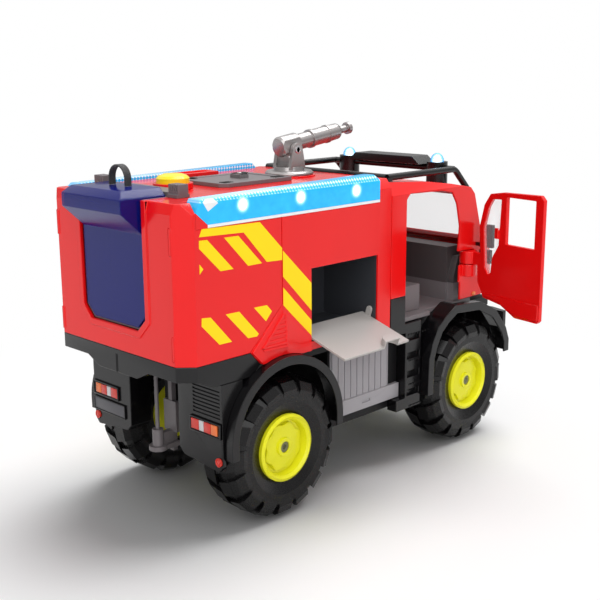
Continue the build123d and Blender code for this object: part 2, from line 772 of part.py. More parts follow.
def push_button():
    """Domed yellow button."""
    edge = BUTTON_RADIUS
    profile = [
        (0, BUTTON_SEAT), (edge, BUTTON_SEAT), (edge, BUTTON_RISE * 0.7), (edge * 0.85, BUTTON_RISE * 0.86),
        (edge * 0.55, BUTTON_RISE * 0.97), (0, BUTTON_RISE),
    ]
    return turned_z(profile, BUTTON_X, 0, BODY_TOP)


def roof_hatch():
    """Grey plate with cut corners, a raised rim and a sliding catch."""
    front = CANNON_X - CANNON_FOOT_RADIUS - HATCH_GAP
    outline = [
        (HATCH_REAR + HATCH_RIM, -HATCH_HALF),
        (front, -HATCH_HALF),
        (front, HATCH_HALF),
        (HATCH_REAR + HATCH_RIM, HATCH_HALF),
        (HATCH_REAR, HATCH_HALF - HATCH_RIM),
        (HATCH_REAR, HATCH_RIM - HATCH_HALF),
    ]
    top = BODY_TOP + HATCH_THICK
    plate = prism_z(outline, BODY_TOP, top)
    plate = plate - prism_z(outline, top - HATCH_SINK, top + OVERCUT, HATCH_RIM)
    middle = (HATCH_REAR + front) / 2 + HATCH_RIM
    reach = CATCH_LENGTH / 2
    catch = block(middle - reach, middle + reach, -CATCH_HALF, CATCH_HALF, BODY_TOP, BODY_TOP + CATCH_HEIGHT)
    return plate + catch


def light_bar():
    """Clear bar on the right, with slanted ends."""
    low = BAR_LOW + TRIM_HEIGHT
    side = [
        (BAR_REAR + BAR_RAKE, low),
        (BAR_REAR, BAR_LOW + BAR_RAKE + 1),
        (BAR_REAR + BAR_RAKE / 2, BAR_TOP - BAR_BEVEL_DOWN / 2),
        (BAR_FRONT - BAR_BEVEL_IN, BAR_TOP),
        (BAR_FRONT, BAR_TOP - BAR_BEVEL_IN),
        (BAR_FRONT, low),
    ]
    return prism_x(bar_outline(), BAR_REAR, BAR_FRONT) & prism_y(side, -FAR, 0)


def light_bar_trim():
    """White strip under the bar."""
    strip = prism_x(bar_outline(), BAR_REAR + BAR_RAKE, BAR_FRONT)
    return strip & block(-FAR, FAR, -FAR, 0, BAR_LOW, BAR_LOW + TRIM_HEIGHT - TRIM_GAP)


# Compartments and flaps

def flap_pins(radius, reach):
    """Round pins at both ends of the right flap, which reach past the opening."""
    return rod_x(-FLAP_HINGE_Y, FLAP_HINGE_Z, radius, BOX_REAR - reach, BOX_FRONT + reach)


def compartment():
    """Dark liner of the right compartment, open at the side."""
    mouth = WALL - BODY_HALF
    back = BOX_DEPTH - BODY_HALF
    low = BOX_LOW - LINER_WALL
    high = BOX_TOP + LINER_WALL
    outer = block(BOX_REAR - LINER_WALL, BOX_FRONT + LINER_WALL, mouth, back, low, high)
    inner = block(BOX_REAR, BOX_FRONT, mouth - OVERCUT, back - LINER_WALL, BOX_LOW, BOX_TOP)
    return outer - inner - flap_pins(FLAP_PIN_RADIUS + RUN_GAP, 2 * LINER_WALL)


def finger_pull(face, back):
    """Half-round recess for a finger at the flap's free edge, and the pocket behind it."""
    x = (BOX_REAR + BOX_FRONT) / 2 + PULL_FORWARD
    keep = block(-FAR, FAR, -FAR, FAR, 0, FLAP_TOP)
    pocket = rod_y(x, FLAP_TOP, PULL_RADIUS + PULL_WALL, back, back + PULL_DEPTH) & keep
    recess = rod_y(x, FLAP_TOP, PULL_RADIUS, face - OVERCUT, back + PULL_DEPTH - PULL_WALL)
    return pocket, recess


def flap_ear(x0, outward):
    """Hinge ear at one end of the right flap, with its pin."""
    back = FLAP_THICK - BODY_HALF
    x1 = x0 + EAR_THICK
    ear = block(x0, x1, back, -FLAP_HINGE_Y, FLAP_HINGE_Z - EAR_RADIUS, FLAP_HINGE_Z + EAR_RADIUS)
    ear = ear + rod_x(-FLAP_HINGE_Y, FLAP_HINGE_Z, EAR_RADIUS, x0, x1)
    reach = FLAP_SIDE_GAP + LINER_WALL - SEAT_GAP
    pin_start = x0 - reach if outward < 0 else x1
    return ear + rod_x(-FLAP_HINGE_Y, FLAP_HINGE_Z, FLAP_PIN_RADIUS, pin_start, pin_start + reach)


def flap_closed():
    """Right flap as it stands when shut."""
    face = -BODY_HALF
    back = face + FLAP_THICK
    rear = BOX_REAR + FLAP_SIDE_GAP
    front = BOX_FRONT - FLAP_SIDE_GAP
    pocket, recess = finger_pull(face, back)
    panel = block(rear, front, face, back, FLAP_LOW, FLAP_TOP) + pocket - recess
    return panel + flap_ear(rear, -1) + flap_ear(front - EAR_THICK, 1)


def swing_flap(flap, degrees):
    """Turn the right flap about its pins."""
    axis = Axis((0, -FLAP_HINGE_Y, FLAP_HINGE_Z), (1, 0, 0))
    return flap.rotate(axis, degrees)


# Cab

def cab_side():
    """Side outline of the cab with its raked screen and short bonnet."""
    roof = [(HINGE_X + ahead, CAB_TOP - below) for ahead, below in CAB_PROFILE]
    return [(CAB_REAR, 0), (CAB_REAR, CAB_TOP)] + roof + [(CAB_FRONT, 0)]


def cab_section():
    """Cross-section of the cab with bevelled roof edges."""
    return [
        (-BODY_HALF, 0),
        (-BODY_HALF, CAB_TOP - CAB_BEVEL_DOWN),
        (CAB_BEVEL_IN - BODY_HALF, CAB_TOP),
        (BODY_HALF - CAB_BEVEL_IN, CAB_TOP),
        (BODY_HALF, CAB_TOP - CAB_BEVEL_DOWN),
        (BODY_HALF, 0),
    ]


def cab_plan():
    """Plan outline of the cab with cut front corners."""
    cut = CAB_FRONT - CAB_CORNER_LENGTH
    return [
        (CAB_REAR, -BODY_HALF),
        (cut, -BODY_HALF),
        (CAB_FRONT, CAB_CORNER - BODY_HALF),
        (CAB_FRONT, BODY_HALF - CAB_CORNER),
        (cut, BODY_HALF),
        (CAB_REAR, BODY_HALF),
    ]


def cab_block(inset):
    """Solid cab form."""
    form = prism_y(cab_side(), -FAR, FAR, inset) & prism_x(cab_section(), 0, FAR, inset)
    return form & prism_z(cab_plan(), 0, FAR, inset)


def door_outline():
    """Right door's outline as (x, z) points, with the ear that joins it to its barrel."""
    upper = [(HINGE_X - behind, CAB_TOP - below) for behind, below in DOOR_UPPER]
    lower = [(HINGE_X - behind, BODY_LOW + above) for behind, above in DOOR_LOWER]
    front = HINGE_X - DOOR_LOWER[0][0]
    ear_low = HINGE_MID + SWING_GAP / 2
    ear = [(front - 4, HINGE_TOP), (HINGE_X, HINGE_TOP), (HINGE_X, ear_low), (front, ear_low)]
    return upper + ear + lower


def screen_outline():
    """Windscreen outline seen from the front."""
    half = BODY_HALF - SCREEN_EDGE
    top = CAB_TOP - SCREEN_DOWN
    low = top - SCREEN_HEIGHT
    return [(-half, low), (SCREEN_RAKE - half, top), (half - SCREEN_RAKE, top), (half, low)]


def cab_shell():
    """Red cab: hollow, with door holes, the screen hole and the lower hinge knuckles."""
    shell = cab_block(0) - cab_block(WALL)
    sill_end = HINGE_X - 18
    shell = shell - block(-FAR, sill_end, -FAR, FAR, 0, CAB_PILLAR_LOW)
    shell = shell - block(sill_end - OVERCUT, FAR, -FAR, FAR, 0, CAB_SILL)
    hole = prism_y(door_outline(), -BODY_HALF - OVERCUT, WALL - BODY_HALF + OVERCUT, -DOOR_GAP)
    shell = shell - hole - other_side(hole)
    shell = shell - prism_x(screen_outline(), HINGE_X - 10, FAR)
    swing_low = HINGE_MID - SWING_GAP / 2
    swing = rod_z(HINGE_X, -HINGE_Y, HINGE_RADIUS + SWING_GAP, swing_low, HINGE_TOP + SWING_GAP)
    knuckle = rod_z(HINGE_X, -HINGE_Y, HINGE_RADIUS, HINGE_LOW, swing_low)
    pin = rod_z(HINGE_X, -HINGE_Y, HINGE_PIN_RADIUS, HINGE_LOW, HINGE_TOP - 2)
    shell = (shell - swing - other_side(swing)) + knuckle + other_side(knuckle)
    return shell + pin + other_side(pin)


def windscreen():
    """Clear screen behind the cab's front frame."""
    pane = cab_block(WALL + SEAT_GAP) - cab_block(WALL + SEAT_GAP + CLEAR_WALL)
    return pane & prism_x(screen_outline(), HINGE_X + SCREEN_OVERLAP, FAR, -SCREEN_OVERLAP)


def vent_outline():
    """Quarter-light outline, narrow at its foot."""
    upper = [(HINGE_X - behind, CAB_TOP - below) for behind, below in VENT_UPPER]
    lower = [(HINGE_X - behind, BODY_LOW + above) for behind, above in VENT_LOWER]
    return upper + lower


def door_closed():
    """Right door as it stands when shut, from its barrel to its rear edge."""
    y0 = -HINGE_Y - DOOR_THICK / 2
    y1 = -HINGE_Y + DOOR_THICK / 2
    panel = prism_y(door_outline(), y0, y1)
    foot = prism_y(door_outline(), y1, y1 + DOOR_FOOT_PROUD, WALL)
    panel = panel + (foot & block(-FAR, FAR, -FAR, FAR, 0, BODY_LOW + DOOR_FOOT))
    tab_rear = HINGE_X - TAB_PLACE - TAB_HALF
    tab_front = tab_rear + 2 * TAB_HALF
    panel = panel + block(tab_rear, tab_front, y0, y1 + TAB_HALF, TAB_LOW, TAB_LOW + TAB_HEIGHT)
    clear_top = HINGE_MID + SWING_GAP / 2
    panel = panel - rod_z(HINGE_X, -HINGE_Y, HINGE_RADIUS + SWING_GAP, HINGE_LOW - SWING_GAP, clear_top)
    panel = panel + rod_z(HINGE_X, -HINGE_Y, HINGE_RADIUS, clear_top, HINGE_TOP)
    panel = panel - rod_z(HINGE_X, -HINGE_Y, HINGE_PIN_RADIUS + RUN_GAP, HINGE_MID, HINGE_TOP - 1.5)
    rear = HINGE_X - WINDOW_REAR
    front = HINGE_X - WINDOW_FRONT
    window = block(rear, front, -FAR, 0, WINDOW_LOW, CAB_TOP - WINDOW_DOWN)
    return panel - window - prism_y(vent_outline(), y0 - OVERCUT, y1 + OVERCUT, VENT_FRAME)


def vent_glass():
    """Clear quarter-light in the right door."""
    half = VENT_THICK / 2
    return prism_y(vent_outline(), -HINGE_Y - half, half - HINGE_Y, VENT_FRAME + SEAT_GAP)


def swing_door(door, degrees):
    """Turn a right-hand piece about the door's barrel."""
    return door.rotate(Axis((HINGE_X, -HINGE_Y, 0), (0, 0, 1)), degrees)


# Inside the cab

def cab_floor():
    """Dark tub: floor, and the dashboard across the cab."""
    wide = HINGE_Y - DOOR_THICK / 2 - DOOR_FOOT_PROUD - SEAT_GAP
    narrow = FENDER_INNER - SEAT_GAP
    arch = WHEELBASE - 80
    low = FLOOR_TOP - FLOOR_RISE
    floor = block(CAB_REAR + WALL + SEAT_GAP, arch, -wide, wide, low, FLOOR_TOP)
    floor = floor + block(arch, WHEELBASE + 30, -narrow, narrow, low, FLOOR_TOP)
    front = DASH_REAR + DASH_DEEP
    dash = [
        (DASH_REAR, FLOOR_TOP), (DASH_REAR, DASH_TOP), (front - 10, DASH_TOP), (front, DASH_TOP - 6),
        (front, FLOOR_TOP),
    ]
    knee = DASH_REAR + 4
    console = [
        (knee, FLOOR_TOP), (knee, DASH_TOP - 42), (knee + 10, DASH_TOP - 14), (front - 6, DASH_TOP - 14),
        (front - 6, FLOOR_TOP),
    ]
    return floor + prism_y(dash, -DASH_HALF, DASH_HALF) + prism_y(console, -CONSOLE_HALF, CONSOLE_HALF)


def cab_seats():
    """Light grey stepped seats on both sides of the tunnel."""
    front = SEAT_BACK + SEAT_BACK_THICK
    reach = front + SEAT_LENGTH
    back_top = FLOOR_TOP + SEAT_BACK_HEIGHT
    cushion_top = FLOOR_TOP + SEAT_CUSHION
    profile = [
        (SEAT_BACK, FLOOR_TOP), (SEAT_BACK, back_top), (front - 6, back_top), (front, cushion_top),
        (reach, cushion_top), (reach, FLOOR_TOP),
    ]
    seat = prism_y(profile, -SEAT_Y - SEAT_HALF, SEAT_HALF - SEAT_Y)
    end = reach + SEAT_BACK_THICK
    tunnel = block(SEAT_BACK + 7, end, -TUNNEL_HALF, TUNNEL_HALF, FLOOR_TOP, FLOOR_TOP + TUNNEL_HEIGHT)
    return seat + other_side(seat) + tunnel


def steering_wheel():
    """Small wheel on the driver's side, on a column from the dashboard."""
    grip = WHEEL_GRIP
    inner = WHEEL_RING - grip
    outer = WHEEL_RING + grip
    ring = [(inner, -grip), (inner, grip), (outer, grip), (outer, -grip)]
    edges = Polyline(*[(r, 0, h) for r, h in ring], close=True).edges()
    wheel = revolve(make_face(edges), axis=Axis.Z)
    bar = 2 * (WHEEL_RING - grip / 2)
    wheel = wheel + Box(bar, 2 * grip, grip) + Box(2 * grip, bar, grip)
    wheel = wheel + Pos(0, 0, -COLUMN_LENGTH) * extrude(Circle(grip), amount=COLUMN_LENGTH + grip)
    place = Pos(DASH_REAR - 14, SEAT_Y, DASH_TOP - 6)
    return place * (Rot(0, -WHEEL_TILT, 0) * wheel)


# Cage, lamps and mirrors on the cab

def bar_path(points):
    """Round bar swept along straight runs joined by arcs."""
    path = FilletPolyline(*points, radius=CAGE_BEND)
    start = Plane(origin=path @ 0, z_dir=path % 0)
    return sweep(start * Circle(CAGE_RADIUS), path=path)


def roof_cage():
    """Black tube cage on the cab roof with its feet and lamp sockets."""
    nose = [(HINGE_X + ahead, -CAGE_Y, CAGE_Z - below) for ahead, below in CAGE_NOSE]
    side = bar_path([(CAGE_REAR, -CAGE_Y, CAGE_Z)] + nose)
    rear = rod_y(CAGE_REAR, CAGE_Z, CAGE_RADIUS, -CAGE_Y, CAGE_Y)
    front = rod_y(CAGE_FRONT, CAGE_Z, CAGE_RADIUS, -CAGE_Y, CAGE_Y)
    foot_half = CAGE_RADIUS + 0.5
    foot_low = CAB_TOP - CAB_BEVEL_DOWN
    foot = block(CAGE_REAR - 4, CAGE_REAR + 6, -CAGE_Y - foot_half, foot_half - CAGE_Y, foot_low, CAGE_Z)
    pod = rod_z(CAGE_FRONT, -POD_Y, POD_RADIUS, CAGE_Z - 2 * POD_RADIUS, CAGE_Z + POD_RISE)
    cage = side + other_side(side) + rear + front
    cage = cage + foot + other_side(foot) + pod + other_side(pod)
    return cage - cab_block(-SEAT_GAP)


def light_board():
    """Black box between the two beacons."""
    low = CAGE_Z + CAGE_RADIUS + SEAT_GAP
    top = low + BOARD_HEIGHT
    short = BOARD_HALF - BOARD_SLOPE
    section = [(-BOARD_HALF, low), (-short, top), (short, top), (BOARD_HALF, low)]
    return prism_x(section, CAGE_FRONT - BOARD_LENGTH / 2 - 2, CAGE_FRONT + BOARD_LENGTH / 2 - 2)


def beacon():
    """Right beacon lamp, a low dome."""
    cut = BEACON_CUT
    profile = [
        (0, 0), (BEACON_RADIUS, 0), (BEACON_RADIUS, BEACON_HEIGHT - cut),
        (BEACON_RADIUS - cut / 2, BEACON_HEIGHT - cut / 3),
        (BEACON_RADIUS - 1.5 * cut, BEACON_HEIGHT), (0, BEACON_HEIGHT),
    ]
    return turned_z(profile, CAGE_FRONT, -POD_Y, CAGE_Z + POD_RISE)


def mirror_unit():
    """Right mirrors, a large one above a small one, each with its arm on the screen pillar."""
    outer = -BODY_HALF - MIRROR_REACH
    inner = outer + MIRROR_WIDTH
    pieces = []
    for foot, height, short, arm in MIRRORS:
        low = BODY_LOW + foot
        glass = block(MIRROR_X, MIRROR_X + MIRROR_THICK, outer + short, inner, low, low + height)
        arm_low = low + arm
        root = inner - ARM_THICK
        bar = block(MIRROR_X, MIRROR_X + ARM_THICK, root, -BODY_HALF, arm_low, arm_low + ARM_THICK)
        pieces.append(glass + bar)
    return Compound(children=pieces)


# Chassis, fenders and bumpers

def spine_block(grow):
    """Central spine from the rear units to the cab's nose."""
    return block(SPINE_REAR, CAB_FRONT, -SPINE_HALF - grow, SPINE_HALF + grow, SPINE_LOW - grow, FRAME_TOP)


def chassis_tub():
    """Open-topped tub between the wheels, let in round the spine."""
    inner = TUB_HALF - WALL
    tub = block(TUB_REAR, TUB_FRONT, -TUB_HALF, TUB_HALF, TUB_LOW, FRAME_TOP)
    hollow = block(TUB_REAR + WALL, TUB_FRONT - WALL, -inner, inner, TUB_LOW + WALL, FRAME_TOP)
    return tub - hollow - spine_block(SEAT_GAP)


def floor_plate():
    """Plate over the wheels, which carries the body and the cab."""
    side = FENDER_INNER - SEAT_GAP
    outline = [
        (SPINE_REAR, FRAME_TOP), (SPINE_REAR, SKIRT_LOW), (STEP_FRONT - SKIRT_RAMP, SKIRT_LOW),
        (STEP_FRONT, BODY_LOW), (BODY_FRONT, BODY_LOW), (BODY_FRONT, FRAME_TOP),
    ]
    rear = prism_y(outline, -side, side)
    narrow = TUB_HALF - WALL / 3
    return rear + block(BODY_FRONT, CAB_FRONT - 10, -narrow, narrow, FRAME_TOP, FLOOR_TOP - FLOOR_RISE)


def axle_housing(x):
    """Bulb and tubes that carry one axle under the spine."""
    reach = HOUSING_LENGTH / 2
    bulb = rod_x(0, TYRE_RADIUS, HOUSING_RADIUS, x - reach, x + reach)
    bulb = bulb & block(-FAR, FAR, -FAR, FAR, 0, SPINE_LOW)
    tube = rod_y(x, TYRE_RADIUS, HOUSING_TUBE, -HOUSING_HALF, HOUSING_HALF)
    return bulb + tube - rod_y(x, TYRE_RADIUS, AXLE_RADIUS + RUN_GAP, -FAR, FAR)


def axles():
    """Two steel rods that carry the wheels."""
    pair = [rod_y(x, TYRE_RADIUS, AXLE_RADIUS, -AXLE_END, AXLE_END) for x in (0, WHEELBASE)]
    return Compound(children=pair)


def arch_form(radius, y0, y1):
    """Round arch over the right rear wheel, with straight legs."""
    return rod_y(0, FENDER_Z, radius, y0, y1) + block(-radius, radius, y0, y1, 0, FENDER_Z)


def rear_fender():
    """Round flare over the right rear wheel."""
    band = arch_form(FENDER_RADIUS, -FENDER_FACE, -FENDER_INNER)
    hole = arch_form(FENDER_RADIUS - FENDER_SKIN, FENDER_LIP - FENDER_FACE, OVERCUT - FENDER_INNER)
    mouth = arch_form(FENDER_RADIUS - FENDER_EDGE, -FAR, -FENDER_INNER)
    shape = (band - hole - mouth) & block(-FAR, FAR, -FAR, 0, FENDER_FOOT, FAR)
    return shape - block(-FAR, FAR, -BODY_HALF - SEAT_GAP, 0, SKIRT_LOW - SEAT_GAP, FAR)


def front_arch_form(amount, y0, y1):
    """Faceted arch over the right front wheel, drawn in by an amount, down to the floor."""
    points = [(WHEELBASE + ahead, TYRE_RADIUS + above) for ahead, above in FRONT_ARCH]
    legs = [(points[-1][0], -FRONT_EDGE), (points[0][0], -FRONT_EDGE)]
    return prism_y(points + legs, y0, y1, amount)


def front_fender():
    """Faceted flare over the right front wheel."""
    shape = front_arch_form(0, -FENDER_FACE, -FENDER_INNER)
    shape = shape - front_arch_form(FENDER_SKIN, FENDER_LIP - FENDER_FACE, OVERCUT - FENDER_INNER)
    shape = shape - front_arch_form(FRONT_EDGE, -FAR, -FENDER_INNER)
    rear_foot = TYRE_RADIUS + FRONT_ARCH[0][1]
    front_foot = TYRE_RADIUS + FRONT_ARCH[-1][1]
    shape = shape - block(-FAR, WHEELBASE, -FAR, 0, -FAR, rear_foot)
    shape = shape - block(WHEELBASE, FAR, -FAR, 0, -FAR, front_foot)
    return shape - block(WHEELBASE - 34, FAR, -BODY_HALF - SEAT_GAP, 0, BODY_LOW, FAR)


def rear_bumper(with_louvres):
    """Right or left rear unit, hollowed round the tyre."""
    outline = [
        (-BUMPER_INNER, SKIRT_LOW), (-BUMPER_INNER, BUMPER_LOW + 14), (-BUMPER_INNER - 8, BUMPER_LOW + 6),
        (8 - BUMPER_OUTER, BUMPER_LOW), (-BUMPER_OUTER, BUMPER_LOW + 8), (-BUMPER_OUTER, SKIRT_LOW),
    ]
    unit = prism_x(outline, BUMPER_REAR, BUMPER_REAR + BUMPER_LENGTH)
    tyre_inner = TYRE_WIDTH - TYRE_FACE + TYRE_ROOM
    unit = unit - rod_y(0, TYRE_RADIUS, TYRE_RADIUS + TYRE_ROOM, -FAR, tyre_inner)
    side = SEAT_GAP - FENDER_INNER
    reach = FENDER_RADIUS + SEAT_GAP
    unit = unit - rod_y(0, FENDER_Z, reach, -FAR, side)
    unit = unit - block(-reach, reach, -FAR, side, FENDER_FOOT - SEAT_GAP, FENDER_Z)
    sink = BUMPER_REAR + LAMP_SINK
    half = LAMP_HALF + SEAT_GAP
    high = LAMP_HIGH + SEAT_GAP
    unit = unit - block(-FAR, sink, -LAMP_Y - half, half - LAMP_Y, LAMP_Z - high, LAMP_Z + high)
    unit = unit - rod_x(-REFLECTOR_Y, REFLECTOR_Z, REFLECTOR_RADIUS + SEAT_GAP, BUMPER_REAR - OVERCUT, sink)
    outer = -LOUVRE_Y - LOUVRE_HALF
    inner = LOUVRE_HALF - LOUVRE_Y
    if with_louvres:
        for step in range(LOUVRE_COUNT):
            z = LOUVRE_LOW + LOUVRE_PITCH * step
            unit = unit - block(-FAR, sink, outer, inner, z, z + LOUVRE_SLOT)
    return unit


def tail_lamp():
    """Right rear lamp in its recess."""
    face = BUMPER_REAR - LAMP_PROUD
    back = BUMPER_REAR + LAMP_SINK - SEAT_GAP
    return block(face, back, -LAMP_Y - LAMP_HALF, LAMP_HALF - LAMP_Y, LAMP_Z - LAMP_HIGH, LAMP_Z + LAMP_HIGH)


def reflector():
    """Right round reflector."""
    face = BUMPER_REAR - LAMP_PROUD
    return rod_x(-REFLECTOR_Y, REFLECTOR_Z, REFLECTOR_RADIUS, face, BUMPER_REAR + LAMP_SINK - SEAT_GAP)


def side_panel():
    """Light grey planked panel under the right compartment, with its ledge."""
    face = -TUB_HALF
    high = FRAME_TOP - 2
    panel = block(TUB_REAR + 2, PANEL_FRONT, face - PANEL_THICK, face, PANEL_LOW, high)
    for step in range(PLANK_COUNT):
        x = TUB_REAR + 4 + PLANK_PITCH * step
        outer = face - PANEL_THICK - PLANK_PROUD
        panel = panel + block(x, x + PLANK_WIDTH, outer, face, PANEL_LOW, high)
    ledge = block(LEDGE_REAR, LEDGE_FRONT, face - LEDGE_PROUD, face, LEDGE_LOW, LEDGE_LOW + LEDGE_HEIGHT)
    middle = (LEDGE_REAR + LEDGE_FRONT) / 2 - SLOT_LENGTH
    slot_low = LEDGE_LOW + (LEDGE_HEIGHT - SLOT_HEIGHT) / 2
    slot_back = face - LEDGE_PROUD + CLEAR_WALL
    slot = block(middle, middle + SLOT_LENGTH, -FAR, slot_back, slot_low, slot_low + SLOT_HEIGHT)
    return panel + ledge - slot


def step_panel():
    """Black steps under the right door, with the pillar's foot above them."""
    outer = -BODY_HALF
    inner = -TUB_HALF
    front = WHEELBASE + FRONT_ARCH[0][0] - 2 * SEAT_GAP
    rear = front - STEP_LENGTH - SEAT_GAP
    steps = block(rear, front, outer, inner, STEP_FOOT, STEP_TOP)
    steps = steps + block(rear - STEP_HEEL, rear, outer, inner, STEP_FOOT, LEDGE_LOW - 1)
    steps = steps + block(CAB_REAR, rear - 2, outer, WALL - BODY_HALF, FRAME_TOP, CAB_PILLAR_LOW)
    steps = steps + block(CAB_REAR, rear, outer, inner, FRAME_TOP, STEP_TOP)
    for step in range(STEP_COUNT):
        z = STEP_FOOT + STEP_HEEL + STEP_PITCH * step
        steps = steps - block(rear + 4, front - WALL, -FAR, outer + STEP_RECESS, z, z + STEP_OPEN)
    return steps


def tow_coupling():
    """Grey bracket, collar and pin of the tow coupling."""
    back = TOW_X + 27.4
    collar_low = TOW_Z + TOW_FLANGE
    collar_top = collar_low + TOW_COLLAR
    post = block(back - 7, back, -TOW_POST_HALF, TOW_POST_HALF, TOW_Z - 7, SKIRT_LOW)
    plate_low = TOW_Z + TOW_PLATE_LOW
    plate_top = plate_low + TOW_PLATE_HEIGHT
    plate = block(back - 8, back - 2, -TOW_PLATE_HALF, TOW_PLATE_HALF, plate_low, plate_top)
    flange = rod_z(TOW_X, 0, TOW_FLANGE_RADIUS, TOW_Z, collar_low)
    flange = flange + block(TOW_X, back, 2.5 - TOW_FLANGE_RADIUS, TOW_FLANGE_RADIUS - 2.5, TOW_Z, collar_low)
    collar = rod_z(TOW_X, 0, TOW_COLLAR_RADIUS, collar_low, collar_top)
    neck_half = TOW_COLLAR_RADIUS - 3
    neck = block(TOW_X, back - 4, -neck_half, neck_half, collar_low, collar_top - TOW_FLANGE)
    pin = rod_z(TOW_X, 0, TOW_PIN_RADIUS, collar_top, SKIRT_LOW)
    body = post + plate + flange + collar + neck + pin
    return body - rod_z(TOW_X, 0, TOW_SOCKET_RADIUS, TOW_Z, TOW_Z + TOW_SOCKET_DEPTH)


def front_bumper():
    """Black bumper across the front with its carrier."""
    rear = CAB_FRONT + GRILLE_THICK
    mid = rear + FRONT_BAR_THICK / 2
    front = rear + FRONT_BAR_THICK
    half = FRONT_BAR_HALF
    short = half - FRONT_BAR_SWEEP
    outline = [(rear, -half), (rear, half), (mid, half), (front, short), (front, -short), (mid, -half)]
    bar = prism_z(outline, FRONT_BAR_LOW, FRONT_BAR_LOW + FRONT_BAR_HEIGHT)
    return bar + block(CAB_FRONT, mid, -CARRIER_HALF, CARRIER_HALF, FRONT_BAR_LOW, GRILLE_LOW - 2 * WALL)


def grille():
    """Slatted grille on the cab's nose."""
    front = CAB_FRONT + GRILLE_THICK
    frame = block(CAB_FRONT, front, -GRILLE_HALF, GRILLE_HALF, GRILLE_LOW, GRILLE_LOW + GRILLE_HEIGHT)
    inner = GRILLE_HALF - GRILLE_RIM
    for step in range(GRILLE_BARS):
        z = GRILLE_LOW + GRILLE_RIM - 1 + GRILLE_PITCH * step
        frame = frame - block(front - WALL, FAR, -inner, inner, z, z + GRILLE_SLOT)
    return frame


def headlamp():
    """Right headlamp in the bumper."""
    face = CAB_FRONT + GRILLE_THICK + FRONT_BAR_THICK
    return rod_x(-HEADLAMP_Y, FRONT_BAR_LOW + FRONT_BAR_HEIGHT / 2, HEADLAMP_RADIUS, face, face + CLEAR_WALL)


# Cannon

def cannon_base():
    """Bevelled foot and the fork that turn on the deck."""
    seat = CANNON_SEAT
    cut = CANNON_FOOT_CUT
    low_hub = CANNON_FOOT + cut
    foot = turned_z(
        [
            (0, 0), (CANNON_FOOT_RADIUS, 0), (CANNON_FOOT_RADIUS, CANNON_FOOT - cut),
            (CANNON_FOOT_RADIUS - cut, CANNON_FOOT),
            (CANNON_HUB_RADIUS, CANNON_FOOT), (CANNON_HUB_RADIUS, low_hub + cut), (0, low_hub + cut),
        ],
        CANNON_X, 0, seat,
    )
    fork = foot + rod_z(CANNON_X, 0, SPIGOT_RADIUS, seat - SPIGOT_DEPTH, seat)
    for y0, y1 in ((-FORK_HALF, -FORK_INNER), (FORK_INNER, FORK_HALF)):
        outline = [
            (CANNON_X - FORK_FOOT, seat + low_hub), (CANNON_X - FORK_EYE, CANNON_PIVOT),
            (CANNON_X + FORK_EYE, CANNON_PIVOT), (CANNON_X + FORK_FOOT, seat + low_hub),
        ]
        fork = fork + prism_y(outline, y0, y1) + rod_y(CANNON_X, CANNON_PIVOT, FORK_EYE, y0, y1)
    return fork - rod_y(CANNON_X, CANNON_PIVOT, FORK_PIN_RADIUS + RUN_GAP, -FAR, FAR)


def barrel_place():
    """Where the barrel's own X axis lies."""
    pivot = Pos(CANNON_X, 0, CANNON_PIVOT)
    return pivot * Rot(0, -CANNON_TILT, 0) * Pos(0, 0, CANNON_AXIS_RISE)


def cannon_barrel():
    """Barrel turned from its radii, with the cheek that hangs in the fork."""
    tip = BARREL[-1][0]
    tube = turned(BARREL) - rod_x(0, 0, NOZZLE_BORE_RADIUS, tip - NOZZLE_BORE_DEPTH, tip + OVERCUT)
    tube = barrel_place() * tube
    half = FORK_INNER - 2 * SEAT_GAP
    flat_end = CANNON_X + BARREL_FLAT
    behind = block(-FAR, flat_end, -FAR, FAR, 0, FAR)
    flats = tube & behind & block(-FAR, FAR, -half, half, 0, FAR)
    pin_end = FORK_HALF + SEAT_GAP
    cheek = rod_y(CANNON_X, CANNON_PIVOT, FORK_EYE, -half, half)
    pin = rod_y(CANNON_X, CANNON_PIVOT, FORK_PIN_RADIUS, -pin_end, pin_end)
    return flats + (tube - behind) + cheek + pin


# Wheels

def wheel_ring(profile, x):
    """Ring turned about the axle at x, from (radius, outward Y) points of its right-hand section."""
    edges = Polyline(*[(r, -y, 0) for r, y in profile], close=True).edges()
    return Pos(x, 0, TYRE_RADIUS) * revolve(make_face(edges), axis=Axis.Y)


def rim(x):
    """Right rim: dished face, stepped ring and axle boss."""
    face = RIM_FACE
    bore = AXLE_RADIUS + RUN_GAP
    edge = RIM_RADIUS
    boss = AXLE_RADIUS + 7
    profile = [
        (bore, face - 8), (bore, face - 52), (edge, face - 50), (edge, face + 3), (edge - 3.5, face + 5),
        (edge - 7, face + 2), (edge - 9, face - 7), (boss + 15.5, face - 8), (boss + 13, face - 4),
        (boss + 4, face - 4), (boss + 2, face - 8), (boss, face), (bore + 3, face), (bore + 3, face - 8),
    ]
    return wheel_ring(profile, x)


